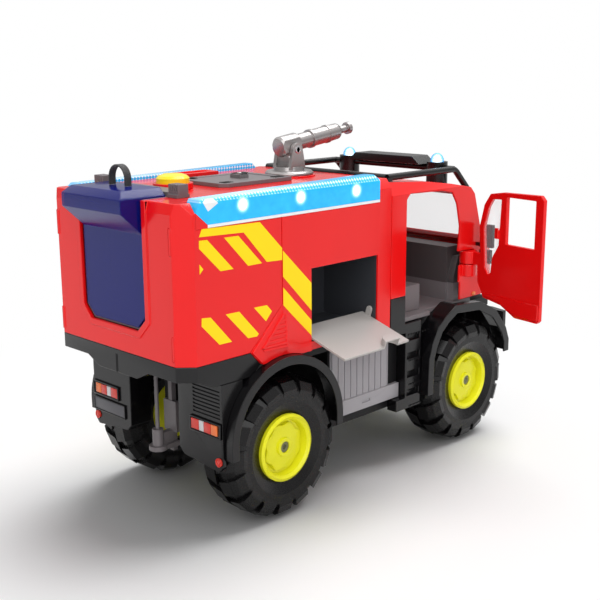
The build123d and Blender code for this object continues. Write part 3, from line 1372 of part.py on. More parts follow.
def lug(row, step):
    """One lug of a row, from the tread's middle round the shoulder, in its place round the wheel."""
    middle = TYRE_WIDTH / 2 - TYRE_FACE
    half = TYRE_WIDTH / 2
    wide = 2 * math.pi * TYRE_RADIUS / LUG_COUNT * LUG_SHARE
    sunk = TYRE_RADIUS - 2 * LUG_HEIGHT
    crown = math.sqrt(TYRE_RADIUS**2 - (wide / 2 + LUG_SLANT) ** 2)
    # Beside the middle, radius
    section = [
        (0.06 * half, sunk), (0.06 * half, crown), (0.6 * half, crown - 0.8),
        (0.86 * half, crown - 6), (half, crown - 16), (half - 1, crown - 23), (0.6 * half, sunk - 8),
    ]
    form = prism_x([(middle + row * beside, radius) for beside, radius in section], -FAR, FAR)
    near = middle
    far = middle + row * (half + OVERCUT)
    plan = [
        (-wide / 2 - LUG_SLANT, near), (wide / 2 - LUG_SLANT, near), (wide / 2 + LUG_SLANT, far),
        (LUG_SLANT - wide / 2, far),
    ]
    form = form & prism_z(plan, 0, 2 * TYRE_RADIUS)
    pitch = 360 / LUG_COUNT
    return form.rotate(Axis.Y, pitch * step + (pitch / 2 if row > 0 else 0))


def tyre(x):
    """Right tyre: rounded casing and slanted lugs that meet in a V."""
    outer = TYRE_FACE
    inner = TYRE_FACE - TYRE_WIDTH
    casing = TYRE_RADIUS - LUG_HEIGHT
    bead = RIM_RADIUS + RUN_GAP / 4
    profile = [
        (bead, inner + 7), (bead + 16, inner + 1), (casing - 14, inner + 1), (casing - 4, inner + 9),
        (casing, inner + 20), (casing, outer - 20), (casing - 4, outer - 9), (casing - 14, outer - 1),
        (bead + 16, outer - 1), (bead, outer - 7),
    ]
    edges = Polyline(*[(r, -y, 0) for r, y in profile], close=True).edges()
    shape = revolve(make_face(edges), axis=Axis.Y)
    for row in (-1, 1):
        for step in range(LUG_COUNT):
            shape = shape + lug(row, step)
    return Pos(x, 0, TYRE_RADIUS) * shape


def main():
    os.makedirs(PARTS, exist_ok=True)
    shell = red_shell()
    peak = peak_panel()
    save("body_rear", body_rear(shell))
    save("body_mid", body_mid(shell) + peak + other_side(peak))
    save("lower_skirt", lower_skirt())
    save("water_tank", water_tank())
    save("tank_bay", tank_bay())
    save("tank_strap", tank_strap())
    save("latch_plate", latch_plate())
    save("deck_red", deck_red())
    save("push_button", push_button())
    save("roof_hatch", roof_hatch())
    save("light_bars", both_sides(light_bar()))
    save("light_bar_trim", both_sides(light_bar_trim()))
    save("compartment_right", compartment())
    save("compartment_left", other_side(compartment()))
    save("cab_shell", cab_shell())
    save("windscreen", windscreen())
    save("cab_floor", cab_floor())
    save("cab_seats", cab_seats())
    save("steering_wheel", steering_wheel())
    save("roof_cage", roof_cage())
    save("light_board", light_board())
    save("beacons", both_sides(beacon()))
    save("mirrors", both_sides(mirror_unit()))
    save("chassis_spine", spine_block(0))
    save("chassis_tub", chassis_tub())
    save("floor_plate", floor_plate())
    save("axle_housings", Compound(children=[axle_housing(0), axle_housing(WHEELBASE)]))
    save("axles", axles())
    save("rear_fenders", both_sides(rear_fender()))
    save("front_fenders", both_sides(front_fender()))
    save("rear_bumper_right", rear_bumper(True))
    save("rear_bumper_left", other_side(rear_bumper(False)))
    save("tail_lamps", both_sides(tail_lamp()))
    save("reflectors", both_sides(reflector()))
    save("side_panels", both_sides(side_panel()))
    save("step_panels", both_sides(step_panel()))
    save("tow_coupling", tow_coupling())
    save("front_bumper", front_bumper())
    save("grille", grille())
    save("headlamps", both_sides(headlamp()))
    save("cannon_base", cannon_base())
    save("cannon_barrel", cannon_barrel())
    save("flap_right", swing_flap(flap_closed(), FLAP_OPEN))
    save("flap_left", other_side(flap_closed()))
    save("door_right", swing_door(door_closed(), DOOR_OPEN))
    save("door_left", other_side(door_closed()))
    save("vent_glass_right", swing_door(vent_glass(), DOOR_OPEN))
    save("vent_glass_left", other_side(vent_glass()))
    for place, x in (("rear", 0), ("front", WHEELBASE)):
        save(f"tyre_{place}_right", tyre(x))
        save(f"rim_{place}_right", rim(x))
        save(f"tyre_{place}_left", other_side(tyre(x)))
        save(f"rim_{place}_left", other_side(rim(x)))


if __name__ == "__main__":
    main()
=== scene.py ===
# %% [markdown]
# # A toy fire truck, dressed for its picture
#
# The truck's hard parts come from CAD, as solids that are true to size.
# This lesson loads them as a fixed frame, rounds their edges, gives each one the plastic it is moulded
# in, and adds what a CAD model leaves out: printed film, lamps, treads and trim.
# Lengths in the frame are metres, +X runs forward along the truck, +Y to its left and +Z up.

# %% Load the CAD frame
import json
import math

import bmesh
import bpy
from mathutils import Matrix, Vector

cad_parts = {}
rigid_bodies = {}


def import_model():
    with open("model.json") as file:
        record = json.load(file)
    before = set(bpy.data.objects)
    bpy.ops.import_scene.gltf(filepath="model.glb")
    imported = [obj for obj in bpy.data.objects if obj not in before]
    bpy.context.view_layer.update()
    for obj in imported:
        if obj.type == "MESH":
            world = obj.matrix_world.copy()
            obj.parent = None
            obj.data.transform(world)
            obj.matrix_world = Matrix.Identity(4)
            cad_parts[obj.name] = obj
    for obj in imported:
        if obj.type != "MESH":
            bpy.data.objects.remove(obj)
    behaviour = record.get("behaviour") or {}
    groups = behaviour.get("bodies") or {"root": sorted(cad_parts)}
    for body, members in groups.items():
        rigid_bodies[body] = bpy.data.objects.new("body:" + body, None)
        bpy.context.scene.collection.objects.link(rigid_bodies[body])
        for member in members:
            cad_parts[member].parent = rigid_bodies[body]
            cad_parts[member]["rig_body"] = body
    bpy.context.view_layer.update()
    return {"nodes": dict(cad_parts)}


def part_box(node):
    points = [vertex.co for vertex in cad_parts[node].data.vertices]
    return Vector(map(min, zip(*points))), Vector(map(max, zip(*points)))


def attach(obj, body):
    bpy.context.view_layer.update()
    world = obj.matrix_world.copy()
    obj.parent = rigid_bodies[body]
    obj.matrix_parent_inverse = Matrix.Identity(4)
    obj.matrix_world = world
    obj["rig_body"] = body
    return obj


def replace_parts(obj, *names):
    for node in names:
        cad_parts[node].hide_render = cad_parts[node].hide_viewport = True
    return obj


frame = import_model()

# %% [markdown]
# ## Measuring from the rear axle
#
# The frame's own origin is under the tow coupling, which is no handy place to measure from.
# A truck is drawn from its rear axle and from the floor, in millimetres, so one small function turns such
# a measure into the frame's metres.

# %% Truck millimetres to frame metres
MM = 0.001
TOW_X = -91.4
TOW_Z = 77.0
BODY_SIDE = 127.1
WHEELBASE = 370.0
AXLE_Z = 89.3


def spot(x, y, z):
    """A point in millimetres from the rear axle and the floor, as a point of the frame."""
    return Vector(((x - TOW_X) * MM, y * MM, (z - TOW_Z) * MM))


FLOOR = spot(0, 0, 0).z
print("the floor lies at z =", round(FLOOR, 4))

# %% [markdown]
# ## Helpers for work in edit mode
#
# An operator acts on whatever is selected, and the loaded frame comes in selected.
# So each step first lets go of everything, then picks its faces in code, by where they are or which way
# they look.


# %% Letting go and taking hold
def let_go():
    """Leave edit mode and deselect every object."""
    if bpy.context.object and bpy.context.object.mode != "OBJECT":
        bpy.ops.object.mode_set(mode="OBJECT")
    bpy.ops.object.select_all(action="DESELECT")


def take(piece):
    """Make one object the only selected and active one."""
    let_go()
    piece.select_set(True)
    bpy.context.view_layer.objects.active = piece


# %% Picking and modifying
def pick(piece, faces):
    """In edit mode, select the faces whose centre and direction pass a test."""
    bpy.ops.mesh.select_mode(type="FACE")
    bpy.ops.mesh.select_all(action="DESELECT")
    mesh = bmesh.from_edit_mesh(piece.data)
    for face in mesh.faces:
        if faces(face.calc_center_median(), face.normal):
            face.select_set(True)
    mesh.select_flush_mode()
    bmesh.update_edit_mesh(piece.data)


def modify(piece, kind, **settings):
    """Add a modifier with its settings and apply it."""
    take(piece)
    modifier = piece.modifiers.new(kind, kind)
    for name, value in settings.items():
        setattr(modifier, name, value)
    bpy.ops.object.modifier_apply(modifier=modifier.name)


# %% Finishing and dressing
def settle(piece, angle=35):
    """Put the piece's place into its mesh and shade it smooth up to an angle."""
    take(piece)
    bpy.ops.object.transform_apply(location=True, rotation=True, scale=True)
    bpy.ops.object.shade_smooth_by_angle(angle=math.radians(angle))


def dress(piece, name, body, material):
    """Name a finished piece, let it ride on its CAD body and give it its material."""
    piece.name = name
    piece.data.name = name
    piece.data.materials.clear()
    piece.data.materials.append(material)
    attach(piece, body)


# %% Copying and joining
def copy_of(piece):
    """A copy with a mesh of its own."""
    twin = piece.copy()
    twin.data = piece.data.copy()
    bpy.context.scene.collection.objects.link(twin)
    return twin


def other_side(piece):
    """The same piece on the other side of the truck, with its faces turned back out."""
    twin = copy_of(piece)
    twin.data.transform(Matrix.Scale(-1, 4, (0, 1, 0)))
    twin.data.flip_normals()
    return twin


def both_hands(piece, name, material, body="truck"):
    """Finish a piece of the right side and its twin on the left."""
    settle(piece)
    twin = other_side(piece)
    dress(piece, name + "_right", body, material)
    dress(twin, name + "_left", body.replace("right", "left"), material)


def joined(pieces):
    """Several meshes as one."""
    take(pieces[0])
    for piece in pieces:
        piece.select_set(True)
    if len(pieces) > 1:
        bpy.ops.object.join()
    return pieces[0]


# %% [markdown]
# ## How the colours are written
#
# Colours are read off as screen values, so each is written as a hex code and turned to the linear value
# that the shader wants.
# A second small function adds a node to a tree, with its settings and its links, so that a material reads
# as a short list.


# %% Colour and node helpers
def paint(code):
    """An sRGB hex code as a linear colour with full opacity."""
    shares = [int(code[i : i + 2], 16) / 255 for i in (0, 2, 4)]
    return [s / 12.92 if s <= 0.04045 else ((s + 0.055) / 1.055) ** 2.4 for s in shares] + [1]


def add(tree, kind, settings=None, links=None):
    """Add one node; a setting is a property of the node or a value on one of its sockets."""
    node = tree.nodes.new(kind)
    for name, value in (settings or {}).items():
        if isinstance(name, str) and hasattr(node, name):
            setattr(node, name, value)
        else:
            node.inputs[name].default_value = value
    for socket, source in (links or {}).items():
        tree.links.new(source, node.inputs[socket])
    return node


def blank_material(name):
    """A material with an empty tree, and that tree."""
    material = bpy.data.materials.new(name)
    material.use_nodes = True
    material.node_tree.nodes.clear()
    return material, material.node_tree


# %% [markdown]
# ## Moulded plastic
#
# Nearly all of the toy is injection-moulded: ABS for the bright shells and polypropylene for the dark
# parts.
# A polished mould gives ABS a clear gloss, and a spark-eroded mould gives the dark parts a fine satin
# grain.
# Both have slow, shallow waves where the wall shrank as it cooled, and these bend the highlights on a
# large panel.
# So one recipe serves all of them: a base colour that hardly varies, a fine grain of a chosen size, and a
# slow wave.


# %% Recipe for moulded plastic
WAVE_SCALE = 18.0


def moulded(name, code, roughness, grain_mm, grain_depth, wave_depth, tint=0.06, shine=0.5, metal=0.0):
    """Injection-moulded plastic: colour, gloss, mould grain and the slow waves of shrinkage."""
    material, tree = blank_material(name)
    where = add(tree, "ShaderNodeTexCoord").outputs["Object"]
    wave = add(tree, "ShaderNodeTexNoise", {"Scale": WAVE_SCALE, "Detail": 2.0}, {"Vector": where})
    grain = add(tree, "ShaderNodeTexNoise", {"Scale": 1 / (grain_mm * MM), "Detail": 3.0}, {"Vector": where})
    colour = paint(code)
    shade = [c * (1 - tint) for c in colour[:3]] + [1]
    mixed = add(tree, "ShaderNodeMix", {"data_type": "RGBA", 6: colour, 7: shade}, {0: wave.outputs["Fac"]})
    gloss = add(
        tree, "ShaderNodeMapRange", {"To Min": roughness * 0.88, "To Max": roughness * 1.14},
        {"Value": grain.outputs["Fac"]},
    )
    slow = add(tree, "ShaderNodeBump", {"Distance": wave_depth * MM}, {"Height": wave.outputs["Fac"]})
    fine = add(
        tree, "ShaderNodeBump", {"Distance": grain_depth * MM},
        {"Height": grain.outputs["Fac"], "Normal": slow.outputs["Normal"]},
    )
    shader = add(
        tree, "ShaderNodeBsdfPrincipled", {"IOR": 1.5, "Specular IOR Level": shine, "Metallic": metal},
        {
            "Base Color": mixed.outputs[2], "Roughness": gloss.outputs["Result"],
            "Normal": fine.outputs["Normal"],
        },
    )
    add(tree, "ShaderNodeOutputMaterial", {}, {"Surface": shader.outputs["BSDF"]})
    return material


# %% [markdown]
# ## The plastics, by part
#
# Red, yellow and lime shells are glossy ABS.
# Black fenders, bumpers and the roof cage are polypropylene with a satin grain, and the parts under the
# floor are a little more matt.
# The greys are the same ABS with less gloss, and the cannon is grey ABS with aluminium flake in it, which
# gives it a metal sheen.

# %% Bright shells
# Polished red ABS: a deep, even red with clear highlights that bend a little on the large panels
red_abs = moulded("red_abs_moulded", "E60D0E", 0.18, 1.1, 0.003, 0.12, shine=0.38)
# Yellow ABS of the button: a warm yellow with a softer highlight on its dome
yellow_abs = moulded("yellow_abs_moulded", "F8DC12", 0.24, 1.1, 0.003, 0.05)
# Lime ABS of the rims: a sharp green-yellow, a shade less glossy than the body
lime_abs = moulded("lime_abs_moulded", "E2DF1C", 0.28, 1.1, 0.005, 0.05, shine=0.35)
# White ABS under the light bars: a clean edge between the blue and the red
white_abs = moulded("white_abs_moulded", "ECECEE", 0.3, 1.1, 0.005, 0.05)
print("bright plastics", len(bpy.data.materials))

# %% Dark and grey mouldings
# Satin polypropylene of fenders, bumpers and cage: black that stays readable by its broad highlights
black_pp = moulded("black_polypropylene_moulded", "0A090B", 0.23, 0.9, 0.008, 0.08, shine=0.38)
# The same polypropylene from an eroded mould: dull black for the chassis, with hardly a highlight
black_dull = moulded("black_polypropylene_grained", "0B0A0C", 0.5, 0.9, 0.03, 0.05, shine=0.25)
# Soft PVC of the tyres: the darkest part, with a sheen along the edges of the lugs
tyre_pvc = moulded("tyre_pvc_moulded", "060506", 0.27, 1.0, 0.012, 0.10, shine=0.32)
# Grained grey ABS in six shades, each a dull surface that sets off the gloss of the red
dark_grey_abs = moulded("dark_grey_abs_moulded", "6A6466", 0.42, 0.9, 0.02, 0.05, shine=0.4)
# Painted shade: the compartments' grey is darker than the same ABS elsewhere, for the shade inside them
compartment_shade_grey_abs = moulded("compartment_grey_abs_painted_shade", "3A3C41", 0.4, 0.9, 0.02, 0.05, shine=0.35)
mid_grey_abs = moulded("mid_grey_abs_moulded", "ACA8A5", 0.38, 0.9, 0.02, 0.05, shine=0.4)
panel_grey_abs = moulded("panel_grey_abs_moulded", "989599", 0.38, 0.9, 0.02, 0.05, shine=0.4)
seat_abs = moulded("seat_grey_abs_moulded", "6E696B", 0.45, 0.9, 0.02, 0.05, shine=0.35)
# Painted shade: the dashboard's grey is darker than the floor's, for the shade in the cab under its roof
dash_shade_abs = moulded("dashboard_abs_painted_shade", "474243", 0.45, 0.9, 0.02, 0.05, shine=0.35)
# Grey ABS with aluminium flake: bright and dark bands round the barrel, as on a dull metal
flake_abs = moulded("aluminium_flake_abs_moulded", "A5A1A0", 0.27, 0.5, 0.008, 0.04, 0.2, metal=0.8)
# Blackened steel of the axles, which shows as a dark brown-grey rod between the wheels
axle_steel = moulded("axle_steel_blackened", "2A2A22", 0.5, 0.4, 0.01, 0.02, 0.1, metal=1.0)
# Olive ABS of the caps on the axle ends: a muted dot in the middle of each lime rim
cap_abs = moulded("axle_cap_abs_moulded", "6A6B45", 0.35, 0.6, 0.01, 0.02, 0.1)
print("all plastics", len(bpy.data.materials))

# %% [markdown]
# ## Clear plastics
#
# The tank, the lamps and the panes are polystyrene or ABS without pigment, or with a dye.
# Their walls are two millimetres thin, so nothing seems bent through them, and what counts is how much of
# what lies behind shows and how it is tinted.
# A share of opacity gives that and lets the light in, where true refraction would leave the inside dark.


# %% Recipe for clear plastic
STYRENE_IOR = 1.55


def clear(name, code, opacity, roughness, edge=0.35, ribs_mm=0.0, shine=0.5):
    """Dyed or clear moulded plastic; at a slant, light goes a longer way through it and less shows."""
    material, tree = blank_material(name)
    where = add(tree, "ShaderNodeTexCoord").outputs["Object"]
    flow = add(tree, "ShaderNodeTexNoise", {"Scale": 30.0, "Detail": 2.0}, {"Vector": where})
    relief = add(tree, "ShaderNodeBump", {"Distance": 0.08 * MM}, {"Height": flow.outputs["Fac"]})
    if ribs_mm:
        ribs = add(
            tree, "ShaderNodeTexWave",
            {"wave_type": "BANDS", "bands_direction": "DIAGONAL", "Scale": 0.31 / (ribs_mm * MM)},
            {"Vector": where},
        )
        relief = add(
            tree, "ShaderNodeBump", {"Distance": 0.3 * MM},
            {"Height": ribs.outputs["Fac"], "Normal": relief.outputs["Normal"]},
        )
    slant = add(tree, "ShaderNodeLayerWeight", {"Blend": 0.35})
    thick = add(
        tree, "ShaderNodeMapRange", {"To Min": opacity, "To Max": min(1.0, opacity + edge)},
        {"Value": slant.outputs["Facing"]},
    )
    shader = add(
        tree, "ShaderNodeBsdfPrincipled",
        {"Base Color": paint(code), "Roughness": roughness, "IOR": STYRENE_IOR, "Specular IOR Level": shine},
        {"Normal": relief.outputs["Normal"], "Alpha": thick.outputs["Result"]},
    )
    add(tree, "ShaderNodeOutputMaterial", {}, {"Surface": shader.outputs["BSDF"]})
    return material


# %% Clear plastics
# Blue polystyrene of the tank: deep blue, darkest where two walls overlap, with a soft highlight on top
tank_blue = clear("blue_polystyrene_clear", "06136E", 0.66, 0.16, 0.34, shine=0.3)
# Clear panes: they show only by their reflections, and more at a slant
pane_clear = clear("polystyrene_clear", "E8E6EC", 0.06, 0.05, 0.3)
# The panes' thick rims: a milky line of painted highlight, for light gathered in the rim, with a blush of
# painted reflection of the red round it
pane_rim_painted_light = clear("polystyrene_clear_rim_painted_highlight", "F0DDE0", 0.72, 0.06, 0.28)
# Lamp lenses: milky colour behind fine ribs, which break up the highlight
LENS_RIBS_MM = 1.6
lens_clear = clear("lamp_polystyrene_clear", "E4E6EA", 0.55, 0.08, 0.3, LENS_RIBS_MM)
lens_red = clear("lamp_polystyrene_red", "D8382C", 0.9, 0.15, 0.1, LENS_RIBS_MM)
lens_orange = clear("lamp_polystyrene_orange", "F2793A", 0.9, 0.15, 0.1, LENS_RIBS_MM)
lens_white = clear("lamp_polystyrene_white", "D6D2D4", 0.9, 0.15, 0.1, LENS_RIBS_MM)
print("clear plastics bring the count to", len(bpy.data.materials))

# %% [markdown]
# ## Lit plastic
#
# The blue bars and domes have small diodes behind a prismed wall of dyed polystyrene.
# Such a wall glows all over and is nearly white where it lies over a diode.
# The glints of its prisms are painted in as rows of bright diamonds, a painted highlight.
# The glow falls off with the distance to the nearest diode, so the shader measures that distance, and the
# diamonds come from two zigzags that cross.


# %% The way to the nearest diode
def way_to_diode(tree, parts, diodes):
    """The distance to the nearest diode, the same on both sides of the truck."""
    across = add(tree, "ShaderNodeMath", {"operation": "ABSOLUTE"}, {0: parts.outputs["Y"]})
    folded = add(
        tree, "ShaderNodeCombineXYZ", {},
        {"X": parts.outputs["X"], "Y": across.outputs[0], "Z": parts.outputs["Z"]},
    )
    nearest = None
    for diode in diodes:
        away = add(
            tree, "ShaderNodeVectorMath", {"operation": "DISTANCE", 1: tuple(diode)}, {0: folded.outputs[0]}
        ).outputs["Value"]
        if nearest:
            away = add(tree, "ShaderNodeMath", {"operation": "MINIMUM"}, {0: nearest, 1: away}).outputs[0]
        nearest = away
    return nearest


# %% Painted glints of the prisms
def painted_prism_glints(tree, parts, low, high, pitch):
    """Painted glints: bright diamonds from two crossed zigzags, between two heights in truck millimetres."""
    zigzags = [
        add(
            tree, "ShaderNodeMath", {"operation": "PINGPONG", 1: pitch * MM / 2}, {0: parts.outputs[axis]}
        ).outputs[0]
        for axis in ("X", "Z")
    ]
    crossed = add(tree, "ShaderNodeMath", {"operation": "ADD"}, {0: zigzags[0], 1: zigzags[1]})
    diamond = add(
        tree, "ShaderNodeMapRange",
        {"From Min": pitch * MM * 0.45, "From Max": pitch * MM * 0.75, "To Max": 0.75},
        {"Value": crossed.outputs[0]},
    )
    shown = diamond.outputs[0]
    for start, end in ((low, low + 1.5), (high, high - 0.8)):
        share = add(
            tree, "ShaderNodeMapRange", {"From Min": spot(0, 0, start).z, "From Max": spot(0, 0, end).z},
            {"Value": parts.outputs["Z"]},
        )
        shown = add(
            tree, "ShaderNodeMath", {"operation": "MULTIPLY"}, {0: shown, 1: share.outputs[0]}
        ).outputs[0]
    return shown


# %% Recipe for lit plastic
def lit(name, code, diodes, core_mm, halo_mm, prisms=None, domed=False):
    """Dyed plastic lit from behind by diodes, with an optional band of painted prism glints
    from (low z, high z, pitch).

    A domed one is palest where the eye looks straight through its wall, and deeper in colour towards its rim.
    """
    material, tree = blank_material(name)
    where = add(tree, "ShaderNodeTexCoord").outputs["Object"]
    parts = add(tree, "ShaderNodeSeparateXYZ", {}, {0: where})
    halo = add(
        tree, "ShaderNodeMapRange",
        {"interpolation_type": "SMOOTHERSTEP", "From Min": halo_mm * MM, "From Max": core_mm * MM},
        {"Value": way_to_diode(tree, parts, diodes)},
    ).outputs["Result"]
    halo = add(tree, "ShaderNodeMath", {"operation": "POWER", 1: 2.2}, {0: halo}).outputs[0]
    if domed:
        slant = add(tree, "ShaderNodeLayerWeight", {"Blend": 0.5}).outputs["Facing"]
        straight = add(tree, "ShaderNodeMath", {"operation": "SUBTRACT", 0: 1.0}, {1: slant}).outputs[0]
        pale = add(tree, "ShaderNodeMath", {"operation": "POWER", 1: 3.0}, {0: straight}).outputs[0]
        halo = add(tree, "ShaderNodeMath", {"operation": "MULTIPLY"}, {0: halo, 1: pale}).outputs[0]
    bright = halo
    if prisms:
        # The prisms' glints are painted highlights: white diamonds mixed into the colour
        rows = painted_prism_glints(tree, parts, *prisms)
        bright = add(tree, "ShaderNodeMath", {"operation": "MAXIMUM"}, {0: halo, 1: rows}).outputs[0]
    flow = add(tree, "ShaderNodeTexNoise", {"Scale": 90.0, "Detail": 3.0}, {"Vector": where}).outputs["Fac"]
    dye = add(tree, "ShaderNodeMix", {"data_type": "RGBA", 6: paint(code), 7: paint("1FB6EC")}, {0: flow})
    colour = add(
        tree, "ShaderNodeMix", {"data_type": "RGBA", 7: paint("E9F8FF")}, {0: bright, 6: dye.outputs[2]}
    ).outputs[2]
    glow = add(tree, "ShaderNodeMapRange", {"To Min": 0.3, "To Max": 3.0}, {"Value": halo})
    shader = add(
        tree, "ShaderNodeBsdfPrincipled",
        {"Roughness": 0.12, "IOR": STYRENE_IOR, "Specular IOR Level": 0.4, "Alpha": 0.97},
        {"Base Color": colour, "Emission Color": colour, "Emission Strength": glow.outputs[0]},
    )
    add(tree, "ShaderNodeOutputMaterial", {}, {"Surface": shader.outputs["BSDF"]})
    return material


# %% Lit plastics
# The light bars: bright sky blue with three white spots and a row of painted glints for the prisms along the
# top
BAR_DIODES = [spot(x, BODY_SIDE, z) for x, z in ((-57.7, 389.5), (33.3, 389.0), (130.7, 388.0))]
BAR_PRISM_GLINTS = (396.2, 403.8, 4.8)
bar_blue = lit("blue_bar_polystyrene_lit_painted_glints", "009AD6", BAR_DIODES, 1.0, 15.0, BAR_PRISM_GLINTS)
# The beacons: a white middle in a blue ring, from wherever the dome is seen
BEACON_RADIUS = 9.5
low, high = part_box("beacons")
dome = Vector(((low.x + high.x) / 2, high.y - BEACON_RADIUS * MM, (low.z + high.z) / 2))
beacon_blue = lit("blue_beacon_polystyrene_lit", "1686E0", [dome], 12.0, 26.0, domed=True)
print("lit plastics", bar_blue.name, beacon_blue.name, "dome centre", [round(c, 4) for c in dome])

# %% [markdown]
# ## Webbing
#
# The tank's handle is a loop of woven strap.
# Its ribs run along the strap about a millimetre apart, and the threads that cross them make it dull,
# with a little sheen where the fibres stand off.


# %% Webbing
def woven(name, code, rib_mm):
    """Flat woven strap: two crossed sets of ridges, painted shade in the grooves between them, and a soft
    sheen.
    """
    material, tree = blank_material(name)
    where = add(tree, "ShaderNodeTexCoord").outputs["Object"]
    ridges = [
        add(
            tree, "ShaderNodeTexWave",
            {"wave_type": "BANDS", "bands_direction": axis, "Scale": 0.31 / (pitch * MM)}, {"Vector": where},
        ).outputs["Fac"]
        for axis, pitch in (("X", rib_mm), ("Z", rib_mm * 0.6))
    ]
    cloth = add(tree, "ShaderNodeMath", {"operation": "MULTIPLY"}, {0: ridges[0], 1: ridges[1]}).outputs[0]
    relief = add(tree, "ShaderNodeBump", {"Distance": 0.25 * MM}, {"Height": cloth})
    # Painted shade: the grooves between the ribs are darkened towards near black
    shade = add(tree, "ShaderNodeMix", {"data_type": "RGBA", 6: paint("0C0B0C"), 7: paint(code)}, {0: cloth})
    shader = add(
        tree, "ShaderNodeBsdfPrincipled", {"Roughness": 0.75, "Sheen Weight": 0.3},
        {"Base Color": shade.outputs[2], "Normal": relief.outputs["Normal"]},
    )
    add(tree, "ShaderNodeOutputMaterial", {}, {"Surface": shader.outputs["BSDF"]})
    return material


# Woven polyester: charcoal with fine ribs and no highlight, beside the gloss of the tank
strap_web = woven("polyester_webbing_woven", "2B2A2C", 1.2)
print("webbing", strap_web.name)

# %% [markdown]
# ## Camera
#
# The picture was taken from behind the truck's right side, from a little above its roof and with a fairly
# long lens.
# The camera's place was worked out from the truck's own corners, so it is written in the truck's
# millimetres.

# %% Camera
CAMERA_AT = spot(-804.27, -960.01, 540.56)
CAMERA_YAW = math.radians(-45.07)
CAMERA_DOWN = math.radians(13.10)
CAMERA_ROLL = math.radians(-0.35)
LENS_MM = 60.90
SENSOR_MM = 36.0

level = math.cos(CAMERA_DOWN)
back = Vector((math.sin(CAMERA_YAW) * level, -math.cos(CAMERA_YAW) * level, math.sin(CAMERA_DOWN)))
side = (-back).cross(Vector((0, 0, 1))).normalized()
top = side.cross(-back)
right = side * math.cos(CAMERA_ROLL) + top * math.sin(CAMERA_ROLL)
up = top * math.cos(CAMERA_ROLL) - side * math.sin(CAMERA_ROLL)
camera = bpy.data.objects.new("camera", bpy.data.cameras.new("camera"))
bpy.context.scene.collection.objects.link(camera)
camera.matrix_world = Matrix.Translation(CAMERA_AT) @ Matrix((right, up, back)).transposed().to_4x4()
camera.data.sensor_width = SENSOR_MM
camera.data.lens = LENS_MM
bpy.context.scene.camera = camera
print("camera at", camera.location[:])

# %% [markdown]
# ## Light and floor
#
# A white studio lights the truck from all round. A broad lamp above and behind it throws its shadow to
# the rear, and a wide fill lamp beside the camera keeps the near sides bright.
# The fill is linked to the truck alone, as a card held close to it would be, so it does not wash out the
# shadow on the floor.
# Together they light a surface at about the level at which its colour is written.
# What the camera and the gloss see of the studio is plain white, and the paper floor turns to that white
# further out, so no horizon shows.

# %% Studio world
STUDIO_LEVEL = 0.38
CEILING = (0.42, 1.25)
bpy.context.scene.view_settings.view_transform = "Standard"
world = bpy.data.worlds.new("studio")
bpy.context.scene.world = world
world.use_nodes = True
sky = world.node_tree
sky.nodes.clear()
ray = add(sky, "ShaderNodeLightPath")
seen = ray.outputs["Is Camera Ray"]
for kind in ("Is Glossy Ray", "Is Transmission Ray"):
    seen = add(sky, "ShaderNodeMath", {"operation": "MAXIMUM"}, {0: seen, 1: ray.outputs[kind]}).outputs[0]
plain = add(sky, "ShaderNodeMapRange", {"To Min": STUDIO_LEVEL, "To Max": 1.0}, {"Value": seen})
towards = add(sky, "ShaderNodeSeparateXYZ", {}, {0: add(sky, "ShaderNodeTexCoord").outputs["Generated"]})
ceiling = add(
    sky, "ShaderNodeMapRange",
    {
        "interpolation_type": "SMOOTHSTEP", "From Min": 0.05, "From Max": 0.75,
        "To Min": CEILING[0], "To Max": CEILING[1],
    },
    {"Value": towards.outputs["Z"]},
)
mirrored = add(
    sky, "ShaderNodeMix", {"data_type": "FLOAT"},
    {0: ray.outputs["Is Glossy Ray"], 2: plain.outputs["Result"], 3: ceiling.outputs["Result"]},
)
light = add(sky, "ShaderNodeBackground", {"Color": (1, 1, 1, 1)}, {"Strength": mirrored.outputs[0]})
add(sky, "ShaderNodeOutputWorld", {}, {"Surface": light.outputs["Background"]})
print("studio nodes", len(sky.nodes))

# %% Lamps
# Name, strength, width in degrees, direction it comes from
LAMPS = [("broad_lamp", 2.5, 45, (0.5, 0.05, 1.15)), ("fill_lamp", 1.9, 70, (-0.62, -0.72, 0.7))]
for name, energy, spread, place in LAMPS:
    lamp = bpy.data.objects.new(name, bpy.data.lights.new(name, "SUN"))
    bpy.context.scene.collection.objects.link(lamp)
    lamp.data.energy = energy
    lamp.data.angle = math.radians(spread)
    lamp.rotation_euler = Vector(place).to_track_quat("Z", "Y").to_euler()
print("lamps", [name for name, *rest in LAMPS])

# %% Floor
FLOOR_SIZE = 60
FADE_MIDDLE = (0.28, 0.0, 0.0)
FADE = (0.4, 0.82)
let_go()
bpy.ops.mesh.primitive_plane_add(size=FLOOR_SIZE, location=(0, 0, FLOOR))
floor = bpy.context.object
floor.name = "floor"
# Matt white paper: it takes the shadow near the truck and turns to plain white further out
paper, tree = blank_material("studio_paper")
where = add(tree, "ShaderNodeTexCoord").outputs["Object"]
matt = add(tree, "ShaderNodeBsdfDiffuse", {"Color": paint("F8F8F8")})
white = add(tree, "ShaderNodeEmission", {"Color": (1, 1, 1, 1), "Strength": 1.0})
far = add(tree, "ShaderNodeVectorMath", {"operation": "DISTANCE", 1: FADE_MIDDLE}, {0: where})
fade = add(
    tree, "ShaderNodeMapRange",
    {"From Min": FADE[0], "From Max": FADE[1], "interpolation_type": "SMOOTHSTEP"},
    {"Value": far.outputs["Value"]},
)
sheet = add(
    tree, "ShaderNodeMixShader", {}, {0: fade.outputs["Result"], 1: matt.outputs[0], 2: white.outputs[0]}
)
add(tree, "ShaderNodeOutputMaterial", {}, {"Surface": sheet.outputs[0]})
floor.data.materials.append(paper)
print("floor", FLOOR_SIZE, "m wide, plain white beyond", FADE[1], "m")

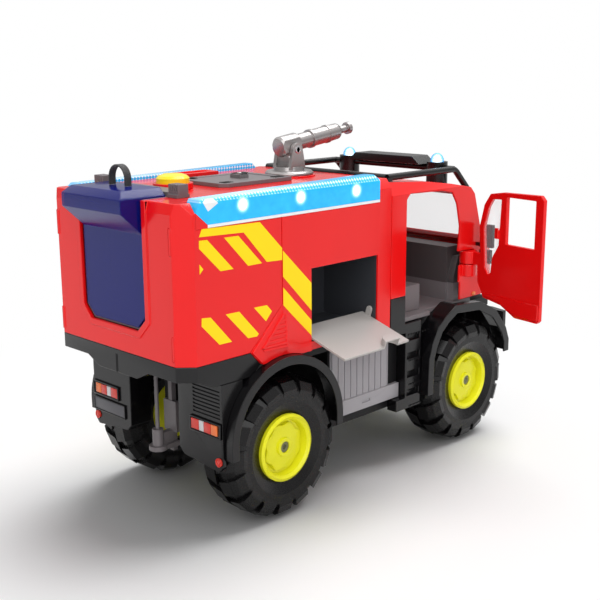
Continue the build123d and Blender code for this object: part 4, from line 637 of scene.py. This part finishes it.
# %% The fill lamp leaves the floor alone
let_go()
fill = bpy.data.objects["fill_lamp"]
floor.select_set(True)
fill.select_set(True)
bpy.context.view_layer.objects.active = fill
bpy.ops.object.light_linking_receivers_link(link_state="EXCLUDE")
print(fill.name, "lights all but", floor.name)

# %% [markdown]
# ## Rounded mouldings
#
# A CAD edge is perfectly sharp, and a moulded one never is: the cutter and the polish leave it with a
# radius of half a millimetre or more, which catches the light as a thin bright line.
# A bevel in the mesh gives that line from every side.
# Each hard part is copied, its loose triangles are merged and its flat faces made whole, and then the
# edges are bevelled by the radius that suits the part.
# Three parts keep their triangles, because a flat face with slots or holes in it can't be made whole.

# %% Radius and plastic of each moulding
# CAD node: bevel radius in millimetres (0 leaves the solid as it is) and plastic
MOULDINGS = {
    "body_rear": (0.9, red_abs), "body_mid": (0.4, red_abs), "cab_shell": (0.9, red_abs),
    "deck_red": (0.8, red_abs), "door_right": (0.8, red_abs), "door_left": (0.8, red_abs),
    "lower_skirt": (0.8, black_pp), "roof_cage": (0.0, black_pp), "light_board": (0.8, black_pp),
    "mirrors": (1.0, black_pp), "chassis_spine": (0.6, black_dull), "chassis_tub": (0.6, black_dull),
    "floor_plate": (0.6, black_dull), "axle_housings": (0.0, black_dull), "rear_fenders": (0.7, black_pp),
    "front_fenders": (0.7, black_pp), "rear_bumper_right": (0.3, black_pp),
    "rear_bumper_left": (0.8, black_pp), "step_panels": (0.6, black_pp), "front_bumper": (0.8, black_pp),
    "grille": (0.4, black_pp), "tank_bay": (0.5, dark_grey_abs), "latch_plate": (0.5, dark_grey_abs),
    "roof_hatch": (0.6, dark_grey_abs), "compartment_right": (0.5, compartment_shade_grey_abs),
    "compartment_left": (0.5, compartment_shade_grey_abs), "cab_floor": (0.8, seat_abs), "cab_seats": (1.0, seat_abs),
    "steering_wheel": (0.0, black_pp), "side_panels": (0.4, panel_grey_abs),
    "flap_right": (0.5, mid_grey_abs), "flap_left": (0.5, mid_grey_abs),
    "tow_coupling": (0.4, dark_grey_abs), "cannon_base": (0.4, flake_abs),
    "cannon_barrel": (0.4, flake_abs), "push_button": (0.0, yellow_abs),
    "light_bar_trim": (0.4, white_abs), "light_bars": (0.7, bar_blue), "beacons": (0.0, beacon_blue),
    "windscreen": (0.0, pane_clear), "water_tank": (0.6, tank_blue), "headlamps": (0.0, lens_clear),
    "tank_strap": (0.3, strap_web), "axles": (0.0, axle_steel), "tail_lamps": (0.0, lens_red),
    "reflectors": (0.0, lens_red),
}
for place in ("rear", "front"):
    for side_name in ("right", "left"):
        MOULDINGS[f"tyre_{place}_{side_name}"] = (0.0, tyre_pvc)
        MOULDINGS[f"rim_{place}_{side_name}"] = (0.0, lime_abs)

SLOTTED = ("body_mid", "rear_bumper_right", "cab_floor")
print("mouldings", len(MOULDINGS), "of which bevelled", sum(radius > 0 for radius, _ in MOULDINGS.values()))


# %% One bevelled moulding
MERGE = 0.002 * MM
CRISP = 18


def rounded(node, radius, material):
    """A copy of a CAD node with its edges bevelled, which stands for the node."""
    piece = bpy.data.objects.new(node + "_moulding", frame["nodes"][node].data.copy())
    bpy.context.scene.collection.objects.link(piece)
    take(piece)
    bpy.ops.object.mode_set(mode="EDIT")
    bpy.ops.mesh.select_all(action="SELECT")
    bpy.ops.mesh.remove_doubles(threshold=MERGE)
    if node not in SLOTTED:
        bpy.ops.mesh.dissolve_limited(angle_limit=math.radians(0.3))
    bpy.ops.object.mode_set(mode="OBJECT")
    modify(
        piece, "BEVEL", width=radius * MM, segments=2, limit_method="ANGLE", angle_limit=math.radians(35),
        use_clamp_overlap=False, miter_outer="MITER_ARC",
    )
    settle(piece, CRISP)
    dress(piece, node + "_moulding", frame["nodes"][node]["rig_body"], material)
    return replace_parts(piece, node)


# %% Bevel the mouldings
for node, (radius, material) in MOULDINGS.items():
    if radius:
        made = rounded(node, radius, material)
        low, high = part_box(node)
        grown = max((Vector(c) - high)[i] for c in made.bound_box for i in range(3))
        count = sum(len(p.vertices) - 2 for p in made.data.polygons)
        print(node, "triangles", count, "stands out", round(grown / MM, 3))
    else:
        solid = frame["nodes"][node]
        solid.data.materials.clear()
        solid.data.materials.append(material)

# %% [markdown]
# ## The dashboard's painted shade
#
# In the CAD model the cab's floor and its dashboard are one piece, and the dashboard is given a darker
# grey as painted shade, for the shade that falls on it in the cab under the roof.
# A second material needs an edge to stop at, so the piece is cut once, level, and the faces above the cut
# and ahead of the seats take the darker grey of painted shade.

# %% Dashboard
DASH_EDGE = 232
DASH_LOW, DASH_HIGH = spot(352, -120, DASH_EDGE), spot(420, 120, 320)
dash = bpy.data.objects["cab_floor_moulding"]
take(dash)
bpy.ops.object.mode_set(mode="EDIT")
bpy.ops.mesh.select_all(action="SELECT")
bpy.ops.mesh.bisect(plane_co=spot(0, 0, DASH_EDGE), plane_no=(0, 0, 1))
bpy.ops.object.mode_set(mode="OBJECT")
# The darker grey above the cut is painted shade
dash.data.materials.append(dash_shade_abs)
for polygon in dash.data.polygons:
    if all(DASH_LOW[i] < polygon.center[i] < DASH_HIGH[i] for i in range(3)):
        polygon.material_index = 1
print("dashboard faces", sum(polygon.material_index for polygon in dash.data.polygons))

# %% [markdown]
# ## Printed film
#
# The warning stripes are yellow film stuck to the side panels.
# They could be painted in the red shader, but then the mesh would know nothing of them.
# Real film is cut from a sheet with straight cuts, so here a plane is laid on the panel, each edge of the
# stripe cuts away what lies outside it, and the film is given its thickness.

# %% Cut a stripe from a sheet
FILM_MM = 0.25
# Vinyl film: a clear, even yellow that is a little less glossy than the panel under it
yellow_film = moulded("yellow_vinyl_film", "FFD900", 0.3, 1.4, 0.003, 0.10, shine=0.25)


def film_sheet(across, middle):
    """An upright plane that faces the right side, round an (x, z) middle."""
    let_go()
    bpy.ops.mesh.primitive_plane_add(
        size=0.3, location=spot(middle[0], across, middle[1]), rotation=(math.pi / 2, 0, 0)
    )
    bpy.ops.object.transform_apply(location=True, rotation=True, scale=True)
    return bpy.context.object


def trimmed(piece, corners):
    """Cut away what lies outside a convex outline of (x, z) corners."""
    middle = [sum(c[i] for c in corners) / len(corners) for i in (0, 1)]
    take(piece)
    bpy.ops.object.mode_set(mode="EDIT")
    for start, end in zip(corners, corners[1:] + corners[:1]):
        on_edge = spot(start[0], -BODY_SIDE, start[1])
        outward = Vector((end[1] - start[1], 0, start[0] - end[0])).normalized()
        if outward.dot(on_edge - spot(middle[0], -BODY_SIDE, middle[1])) < 0:
            outward = -outward
        bpy.ops.mesh.select_all(action="SELECT")
        bpy.ops.mesh.bisect(plane_co=on_edge, plane_no=outward, clear_outer=True)
    bpy.ops.object.mode_set(mode="OBJECT")
    return piece


def film(corners):
    """One convex stripe on the right side, from its corners as (x, z) in truck millimetres, in order."""
    middle = [sum(c[i] for c in corners) / len(corners) for i in (0, 1)]
    return trimmed(film_sheet(-BODY_SIDE - FILM_MM / 2, middle), corners)


print("film", FILM_MM, "mm thick")

# %% The stripes on both sides
STRIPES_REAR = [
    [(-121.6, 360.7), (-117.6, 368.9), (-32.9, 367.0), (-57.5, 358.2)],
    [(-57.5, 358.2), (-32.9, 367.0), (1.6, 332.9), (1.5, 318.8), (-22.7, 319.9)],
    [(-121.8, 356.8), (-110.6, 356.4), (-73.7, 319.2), (-92.7, 319.4), (-122.1, 348.2)],
    [(-86.5, 355.9), (-65.6, 355.4), (-30.3, 319.5), (-51.7, 319.5)],
    [(-122.1, 331.0), (-117.0, 325.0), (-122.1, 320.0)],
    [(-121.1, 271.1), (-108.5, 269.8), (-78.1, 236.3), (-96.6, 236.5), (-121.5, 262.1)],
    [(-86.5, 269.4), (-66.5, 269.0), (-37.0, 237.6), (-39.8, 235.0), (-53.7, 235.6)],
    [(-43.8, 269.6), (-23.7, 269.2), (-15.8, 260.8), (-25.4, 250.4)],
]
STRIPES_MID = [
    [(3.0, 329.5), (50.2, 284.0), (50.2, 249.8), (3.0, 298.6)],
    [(3.0, 285.8), (50.2, 237.5), (50.2, 217.4), (3.0, 264.2)],
]


def stripes(name, outlines):
    """A set of stripes as one sheet of film on each side."""
    sheet = joined([film(corners) for corners in outlines])
    bpy.ops.object.mode_set(mode="EDIT")
    bpy.ops.mesh.select_all(action="SELECT")
    bpy.ops.mesh.remove_doubles(threshold=0.1 * MM)
    bpy.ops.mesh.dissolve_limited(angle_limit=math.radians(1))
    bpy.ops.object.mode_set(mode="OBJECT")
    modify(sheet, "SOLIDIFY", thickness=FILM_MM * MM, offset=0)
    both_hands(sheet, name, yellow_film)


stripes("film_stripes_rear", STRIPES_REAR)
stripes("film_stripes_mid", STRIPES_MID)
print("stripes on each side", len(STRIPES_REAR) + len(STRIPES_MID))

# %% [markdown]
# ## Blocks, trays and stepped discs
#
# Lamps, frames and catches start as a cube or a circle.
# The cube is sized between two corners and its edges are bevelled, and a tray is such a block with one
# face sunk inside a rim.
# The circle is inset and raised in steps, which is how a round mould steps a small lens or a cap.


# %% Three small makers
def slab(low, high, radius=0.4):
    """A block between two corners in truck millimetres, with rounded edges."""
    let_go()
    bpy.ops.mesh.primitive_cube_add(size=1, location=(spot(*low) + spot(*high)) / 2)
    piece = bpy.context.object
    piece.scale = [(b - a) * MM for a, b in zip(low, high)]
    bpy.ops.object.transform_apply(location=True, rotation=True, scale=True)
    if radius:
        soften(piece, radius)
    return piece


def soften(piece, radius):
    """Round the sharp edges of a piece."""
    modify(piece, "BEVEL", width=radius * MM, segments=2, limit_method="ANGLE", angle_limit=math.radians(35))


def tray(low, high, rim, depth, towards, radius=0.4):
    """A block whose face in one direction is sunk inside a rim."""
    piece = slab(low, high, 0)
    take(piece)
    bpy.ops.object.mode_set(mode="EDIT")
    pick(piece, faces=lambda centre, normal: normal.dot(Vector(towards)) > 0.9)
    bpy.ops.mesh.inset(thickness=rim * MM, depth=0)
    bpy.ops.mesh.inset(thickness=0.1 * MM, depth=-depth * MM)
    bpy.ops.object.mode_set(mode="OBJECT")
    soften(piece, radius)
    return piece


def stepped_disc(centre, towards, radius, steps, corners=32):
    """A round piece on a circle: each step is (inset, rise) in millimetres."""
    let_go()
    bpy.ops.mesh.primitive_circle_add(
        vertices=corners, radius=radius * MM, fill_type="NGON", location=spot(*centre),
        rotation=Vector(towards).to_track_quat("Z", "Y").to_euler(),
    )
    piece = bpy.context.object
    bpy.ops.object.transform_apply(location=True, rotation=True, scale=True)
    bpy.ops.object.mode_set(mode="EDIT")
    bpy.ops.mesh.select_all(action="SELECT")
    for inset, rise in steps:
        bpy.ops.mesh.inset(thickness=max(inset, 0.02) * MM, depth=rise * MM)
    bpy.ops.object.mode_set(mode="OBJECT")
    return piece


# %% [markdown]
# ## Rear lamps
#
# Each rear unit has a lamp in a black frame, with cells of red, white and orange lens, and a round red
# reflector near its foot.
# The frame is a tray sunk from a block, and the cells are blocks that stand in it, so each colour is a
# solid of its own as on a two-shot lens.

# %% Lamp frames and cells
REARWARD = (-1, 0, 0)
LAMP_FRAME = ((-98.6, -126.6, 123.2), (-96.3, -71.6, 141.8))
LAMP_CELLS = [
    ("orange", -120.6, -109.6), ("red", -109.0, -97.0), ("white", -96.4, -88.4), ("red", -87.8, -74.2)
]
both_hands(tray(*LAMP_FRAME, 1.9, 1.4, REARWARD, 0.5), "tail_lamp_frame", black_pp)
for colour, lens in (("orange", lens_orange), ("red", lens_red), ("white", lens_white)):
    cells = [slab((-98.4, a, 126.2), (-96.4, b, 138.8), 0.6) for tint, a, b in LAMP_CELLS if tint == colour]
    both_hands(joined(cells), f"tail_lamp_{colour}", lens)
print("lamp cells on each side", len(LAMP_CELLS))

# %% Reflectors and the blank plate
REFLECTOR_STEPS = [(0, 1.3), (0.9, 0), (0.3, -0.8), (1.0, 0), (0.3, 0.8), (0.8, 0.2)]
reflector = stepped_disc((-96.4, -121, 94.6), REARWARD, 5.3, REFLECTOR_STEPS)
both_hands(reflector, "reflector_ring", lens_red)
frame_piece = tray((-98.2, 59.0, 101.6), (-96.3, 127.0, 120.2), 1.6, 1.0, REARWARD, 0.5)
settle(frame_piece)
dress(frame_piece, "plate_frame", "truck", black_pp)
plate = slab((-97.6, 61.0, 103.6), (-96.6, 125.0, 118.2), 0.4)
settle(plate)
# Grey ABS of the plate: a shade lighter than the black round it, and without a shine
plate_abs = moulded("plate_grey_abs_moulded", "4C4B50", 0.4, 0.9, 0.02, 0.05)
dress(plate, "plate_blank", "truck", plate_abs)
print("plate", round(plate.dimensions.y / MM), "by", round(plate.dimensions.z / MM), "mm")

# %% [markdown]
# ## Lobed ring of the rims
#
# Round the hub, each rim has a raised ring with eight shallow lobes.
# It starts as a circle; in each of the eight valleys the corners are drawn in towards the axle by a share
# that eases off on both sides, and then the disc is given its thickness and rounded, so that the hub
# stands out of its middle.

# %% One lobed disc
RIM_FACE = 131.0
RING_SUNK = 3.2
RING_RADIUS = 30.5
RING_DEPTH = 4.4
LOBES = 8
# Degrees from the middle of a valley, share of the radius
EASE = [(0.0, 0.88), (5.625, 0.90), (11.25, 0.94), (16.875, 0.98)]


def lobed_ring():
    """The lobed ring of the right rear rim."""
    let_go()
    centre = spot(0, RING_SUNK - RIM_FACE, AXLE_Z)
    bpy.ops.mesh.primitive_circle_add(
        vertices=64, radius=RING_RADIUS * MM, fill_type="NGON", location=centre, rotation=(math.pi / 2, 0, 0)
    )
    ring = bpy.context.object
    bpy.ops.object.transform_apply(location=True, rotation=True, scale=True)
    bpy.ops.object.mode_set(mode="EDIT")
    bpy.ops.mesh.select_mode(type="VERT")
    for offset, share in EASE:
        bpy.ops.mesh.select_all(action="DESELECT")
        mesh = bmesh.from_edit_mesh(ring.data)
        for corner in mesh.verts:
            turn = math.degrees(math.atan2(corner.co.z - centre.z, corner.co.x - centre.x)) % (360 / LOBES)
            if abs(min(turn, 360 / LOBES - turn) - offset) < 1:
                corner.select_set(True)
        bmesh.update_edit_mesh(ring.data)
        bpy.ops.transform.resize(value=(share, 1, share))
    bpy.ops.object.mode_set(mode="OBJECT")
    modify(ring, "SOLIDIFY", thickness=RING_DEPTH * MM, offset=-1)
    soften(ring, 0.9)
    return ring


# %% The disc on four wheels
ring = lobed_ring()
for place, along in (("rear", 0), ("front", WHEELBASE)):
    for hand in ("right", "left"):
        one = copy_of(ring) if hand == "right" else other_side(ring)
        one.data.transform(Matrix.Translation((along * MM, 0, 0)))
        settle(one)
        wheel = frame["nodes"][f"rim_{place}_{hand}"]["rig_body"]
        dress(one, f"rim_ring_{place}_{hand}", wheel, lime_abs)
        print(one.name, "rides on", wheel)
bpy.data.objects.remove(ring)

# %% [markdown]
# ## Caps on the axle ends
#
# A small cap in the hub of each wheel hides the axle's end.
# It is a circle raised in two steps with a dimple in its middle, made once for each axle and mirrored.

# %% Axle caps
CAP_FACE = -128.9
CAP_STEPS = [(0, 0.8), (1.2, 0.3), (2.0, 0), (0.3, -0.5)]
for place, along in (("rear", 0), ("front", WHEELBASE)):
    cap = stepped_disc((along, CAP_FACE, AXLE_Z), (0, -1, 0), 6.7, CAP_STEPS, 24)
    both_hands(cap, f"axle_cap_{place}", cap_abs, f"{place}_right_wheel")

# %% [markdown]
# ## Treads of the steps
#
# The foot of each step has a row of small teeth for grip.
# One tooth is a rounded block, and an array repeats it along the step.

# %% Teeth on both sides
# Rear end, front end and height of each step
TREADS = [(238, 281, 181.0), (240, 270, 144.5), (241, 267, 110.5), (242, 266, 79.5)]
TEETH = 8
TOOTH = 2.0
rows = []
for rear, front, height in TREADS:
    tooth = slab((rear, -128.0, height), (rear + TOOTH, -126.4, height + 2.4), 0.35)
    modify(
        tooth, "ARRAY", count=TEETH, use_relative_offset=False, use_constant_offset=True,
        constant_offset_displace=((front - rear - TOOTH) / (TEETH - 1) * MM, 0, 0),
    )
    rows.append(tooth)
both_hands(joined(rows), "step_teeth", black_pp)
print("teeth on each side", TEETH * len(TREADS))

# %% [markdown]
# ## Domes of the beacons
#
# The two blue beacons on the roof cage are moulded domes that stand out of their black sockets.
# A dome is a sphere whose lower half is cut off at the socket's rim.

# %% Beacon domes
SOCKET_RIM = 408.5
SOCKET = spot(350, -83, SOCKET_RIM)
let_go()
bpy.ops.mesh.primitive_uv_sphere_add(segments=28, ring_count=14, radius=8.8 * MM, location=SOCKET)
beacon = bpy.context.object
bpy.ops.object.transform_apply(location=True, rotation=True, scale=True)
bpy.ops.object.mode_set(mode="EDIT")
bpy.ops.mesh.select_all(action="SELECT")
bpy.ops.mesh.bisect(plane_co=SOCKET, plane_no=(0, 0, -1), clear_outer=True, use_fill=True)
bpy.ops.object.mode_set(mode="OBJECT")
both_hands(beacon, "beacon_dome", beacon_blue)
print("domes up to", round(max(c[2] for c in beacon.bound_box) / MM + TOW_Z, 1), "mm over the floor")

# %% [markdown]
# ## Corner under the light bar
#
# The bar's rear end is cut at a slant, and the body's red corner runs up to it.
# A plane is trimmed to that corner's outline and thickened inwards.
# The edge of each side compartment gets a thin sill in the same step, from a flat block.

# %% Corner fill and sill
BAR_CORNER = [(-125.2, 386.4), (-108.8, 372.2), (-108.8, 368.8), (-125.2, 368.8)]
corner = trimmed(film_sheet(-127.0, (-117, 377)), BAR_CORNER)
modify(corner, "SOLIDIFY", thickness=9 * MM, offset=-1)
both_hands(corner, "bar_corner", red_abs)
sill = slab((52.0, -126.6, 210.2), (171.6, -113.0, 210.9), 0.2)
# The sill takes the compartments' darker grey of painted shade
both_hands(sill, "compartment_sill", compartment_shade_grey_abs)
print("corner faces", len(corner.data.polygons), "sill", round(sill.dimensions.x / MM, 1), "mm long")

# %% [markdown]
# ## Side markers
#
# A small oval marker lamp sits in the cab's side under the hinge.

# %% Marker lamps
MARKER = (385.4, -126.9, 216.1)
MARKER_STEPS = [(0, 1.2), (0.5, 0.5), (0.8, 0.3), (0.8, 0.1)]
marker = stepped_disc(MARKER, (0, -1, 0), 3.0, MARKER_STEPS)
take(marker)
bpy.ops.object.mode_set(mode="EDIT")
bpy.ops.mesh.select_all(action="SELECT")
bpy.ops.transform.resize(value=(1.45, 1, 1))
bpy.ops.object.mode_set(mode="OBJECT")
both_hands(marker, "marker_lamp", lens_orange)
print("marker", round(marker.dimensions.x / MM, 1), "by", round(marker.dimensions.z / MM, 1), "mm")

# %% [markdown]
# ## Headlamps
#
# Each headlamp is a clear lens in a round bezel on the front bumper.
# The bezel is a silvered ring, and the lens inside it is pressed in two shallow steps round a bulb spot.

# %% Bezels and lenses
FORWARD = (1, 0, 0)
HEADLAMP_Y = -88
BEZEL_STEPS = [(0, 1.6), (1.6, 0.2), (0.5, -1.3), (0.2, 0)]
LENS_STEPS = [(0, 0.5), (2.5, 0.3), (0.6, -0.4), (3.4, 0.3), (0.6, 0.3)]
lamps_low, lamps_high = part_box("headlamps")
face = lamps_high.x / MM + TOW_X
middle_z = (lamps_low.z + lamps_high.z) / 2 / MM + TOW_Z
bezel = stepped_disc((face - 1.9, HEADLAMP_Y, middle_z), FORWARD, 13.6, BEZEL_STEPS, 40)
both_hands(bezel, "headlamp_bezel", flake_abs)
lens = stepped_disc((face - 1.2, HEADLAMP_Y, middle_z), FORWARD, 11.4, LENS_STEPS, 40)
lens = joined([lens, other_side(lens)])
settle(lens)
dress(lens, "headlamp_lenses", "truck", lens_white)
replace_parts(lens, "headlamps")
print("headlamps at x", round(face, 1), "z", round(middle_z, 1))

# %% [markdown]
# ## Quarter-lights with a thick rim
#
# The small pane in each door is moulded with a thick rim, which looks brighter than the pane because
# light gathers in it; that brightness is painted into the rim's colour as a painted highlight.
# The pane comes from the CAD node: both of its faces are raised, inset by the width of the rim and let
# down again, and the rim then gets the denser material with the painted highlight.

# %% Rims round the panes
PANE_RAISE = 0.5
PANE_RIM = 1.7
for hand in ("right", "left"):
    node = f"vent_glass_{hand}"
    pane = bpy.data.objects.new(node + "_pane", frame["nodes"][node].data.copy())
    bpy.context.scene.collection.objects.link(pane)
    take(pane)
    bpy.ops.object.mode_set(mode="EDIT")
    bpy.ops.mesh.select_all(action="SELECT")
    bpy.ops.mesh.remove_doubles(threshold=MERGE)
    bpy.ops.mesh.dissolve_limited(angle_limit=math.radians(0.3))
    flat = max(bmesh.from_edit_mesh(pane.data).faces, key=lambda face: face.calc_area()).normal.copy()
    pick(pane, faces=lambda centre, normal: abs(normal.dot(flat)) > 0.9)
    bpy.ops.mesh.inset(thickness=0.02 * MM, depth=PANE_RAISE * MM)
    bpy.ops.mesh.inset(thickness=PANE_RIM * MM, depth=0)
    bpy.ops.mesh.inset(thickness=0.3 * MM, depth=-PANE_RAISE * MM)
    for face in bmesh.from_edit_mesh(pane.data).faces:
        face.material_index = 0 if face.select else 1
    bpy.ops.object.mode_set(mode="OBJECT")
    settle(pane)
    dress(pane, node + "_pane", frame["nodes"][node]["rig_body"], pane_clear)
    # The rim's material paints the light gathered in it and a reflection of the red round it
    pane.data.materials.append(pane_rim_painted_light)
    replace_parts(pane, node)
    print(pane.name, "faces", len(pane.data.polygons))

# %% [markdown]
# ## Catch of the hatch and screws of the cannon
#
# The hatch is held by a sliding catch with ribs on both sides of a small knob, and each fork arm of the
# cannon has a screw head on its pivot.

# %% Catch of the hatch
CATCH_X, CATCH_Z = 51.0, 406.0
ribs = [
    slab((CATCH_X - 5, y, CATCH_Z - 3), (CATCH_X + 5, y + 2.0, CATCH_Z + 1.0), 0.5)
    for y in (-9.6, -6.4, 4.4, 7.6)
]
catch = joined(ribs)
settle(catch)
dress(catch, "hatch_catch_ribs", "truck", black_dull)
knob = stepped_disc((CATCH_X, 0, CATCH_Z - 1), (0, 0, 1), 3.2, [(0, 2.2), (0.5, 0.4), (1.2, -0.5)])
settle(knob)
dress(knob, "hatch_catch_knob", "truck", flake_abs)
print("catch faces", len(catch.data.polygons), "knob faces", len(knob.data.polygons))

# %% Screws of the cannon
CANNON_X, FORK_HALF, PIVOT_Z = 139.2, 17.0, 431.5
SCREW_STEPS = [(0, 0.9), (0.7, 0.3), (0.9, 0), (0.4, -0.9)]
heads = joined([
    stepped_disc((CANNON_X, hand * FORK_HALF, PIVOT_Z), (0, hand, 0), 5.0, SCREW_STEPS, 24)
    for hand in (-1, 1)
])
settle(heads)
# Bright steel: a small point of light on each side of the grey fork
screw_steel = moulded("screw_steel", "D0CED0", 0.3, 0.4, 0.01, 0.02, metal=1.0)
dress(heads, "cannon_screws", "cannon_turret", screw_steel)
print("screw heads", len(heads.data.polygons), "faces")

# %% [markdown]
# ## Ribs of the hatch
#
# Near each corner, the hatch has three short ribs, which most likely give the fingers a grip.
# Each rib is a rounded block, and a loop over the corners sets three of them beside each other.

# %% Ribs of the hatch
HATCH_TOP = 402.0
RIB_LONG, RIB_WIDE, RIB_PITCH = 15, 1.8, 4.0
grip = joined([
    slab(
        (x, y + step * RIB_PITCH, HATCH_TOP - 0.5),
        (x + RIB_LONG, y + step * RIB_PITCH + RIB_WIDE, HATCH_TOP + 0.7), 0.3,
    )
    for x in (-8, 77) for y in (-39.0, 29.0) for step in (0, 1, 2)
])
settle(grip)
dress(grip, "hatch_ribs", "truck", black_dull)
print("hatch ribs", len(grip.data.polygons), "faces")

# %% [markdown]
# ## Painted reflection on the light bar
#
# A small white patch lies across the rear end of each bar, over the wall and the bevel above it: a painted
# reflection, for the bright reflection on the bar's rear corner.
# It follows the bar because it is cut from the bar's own skin: each side of the patch cuts away the rest,
# and what is left is lifted off as a film.

# %% Painted reflection cut from the bar's skin
REFLECTION_OUTLINE = [(-114.8, 396.8), (-103.4, 403.7), (-93.8, 394.8), (-108.2, 386.9)]
reflection_patch = bpy.data.objects.new("bar_painted_reflection", frame["nodes"]["light_bars"].data.copy())
bpy.context.scene.collection.objects.link(reflection_patch)
trimmed(reflection_patch, REFLECTION_OUTLINE)
bpy.ops.object.mode_set(mode="EDIT")
pick(reflection_patch, faces=lambda centre, normal: centre.y > -0.115 or normal.y > -0.3)
bpy.ops.mesh.delete(type="FACE")
bpy.ops.mesh.select_all(action="SELECT")
bpy.ops.mesh.remove_doubles(threshold=MERGE)
bpy.ops.object.mode_set(mode="OBJECT")
modify(reflection_patch, "SOLIDIFY", thickness=0.3 * MM, offset=1)
# The white ABS of the trim gives the painted reflection its white
both_hands(reflection_patch, "bar_painted_reflection", white_abs)
print("label faces", len(reflection_patch.data.polygons))
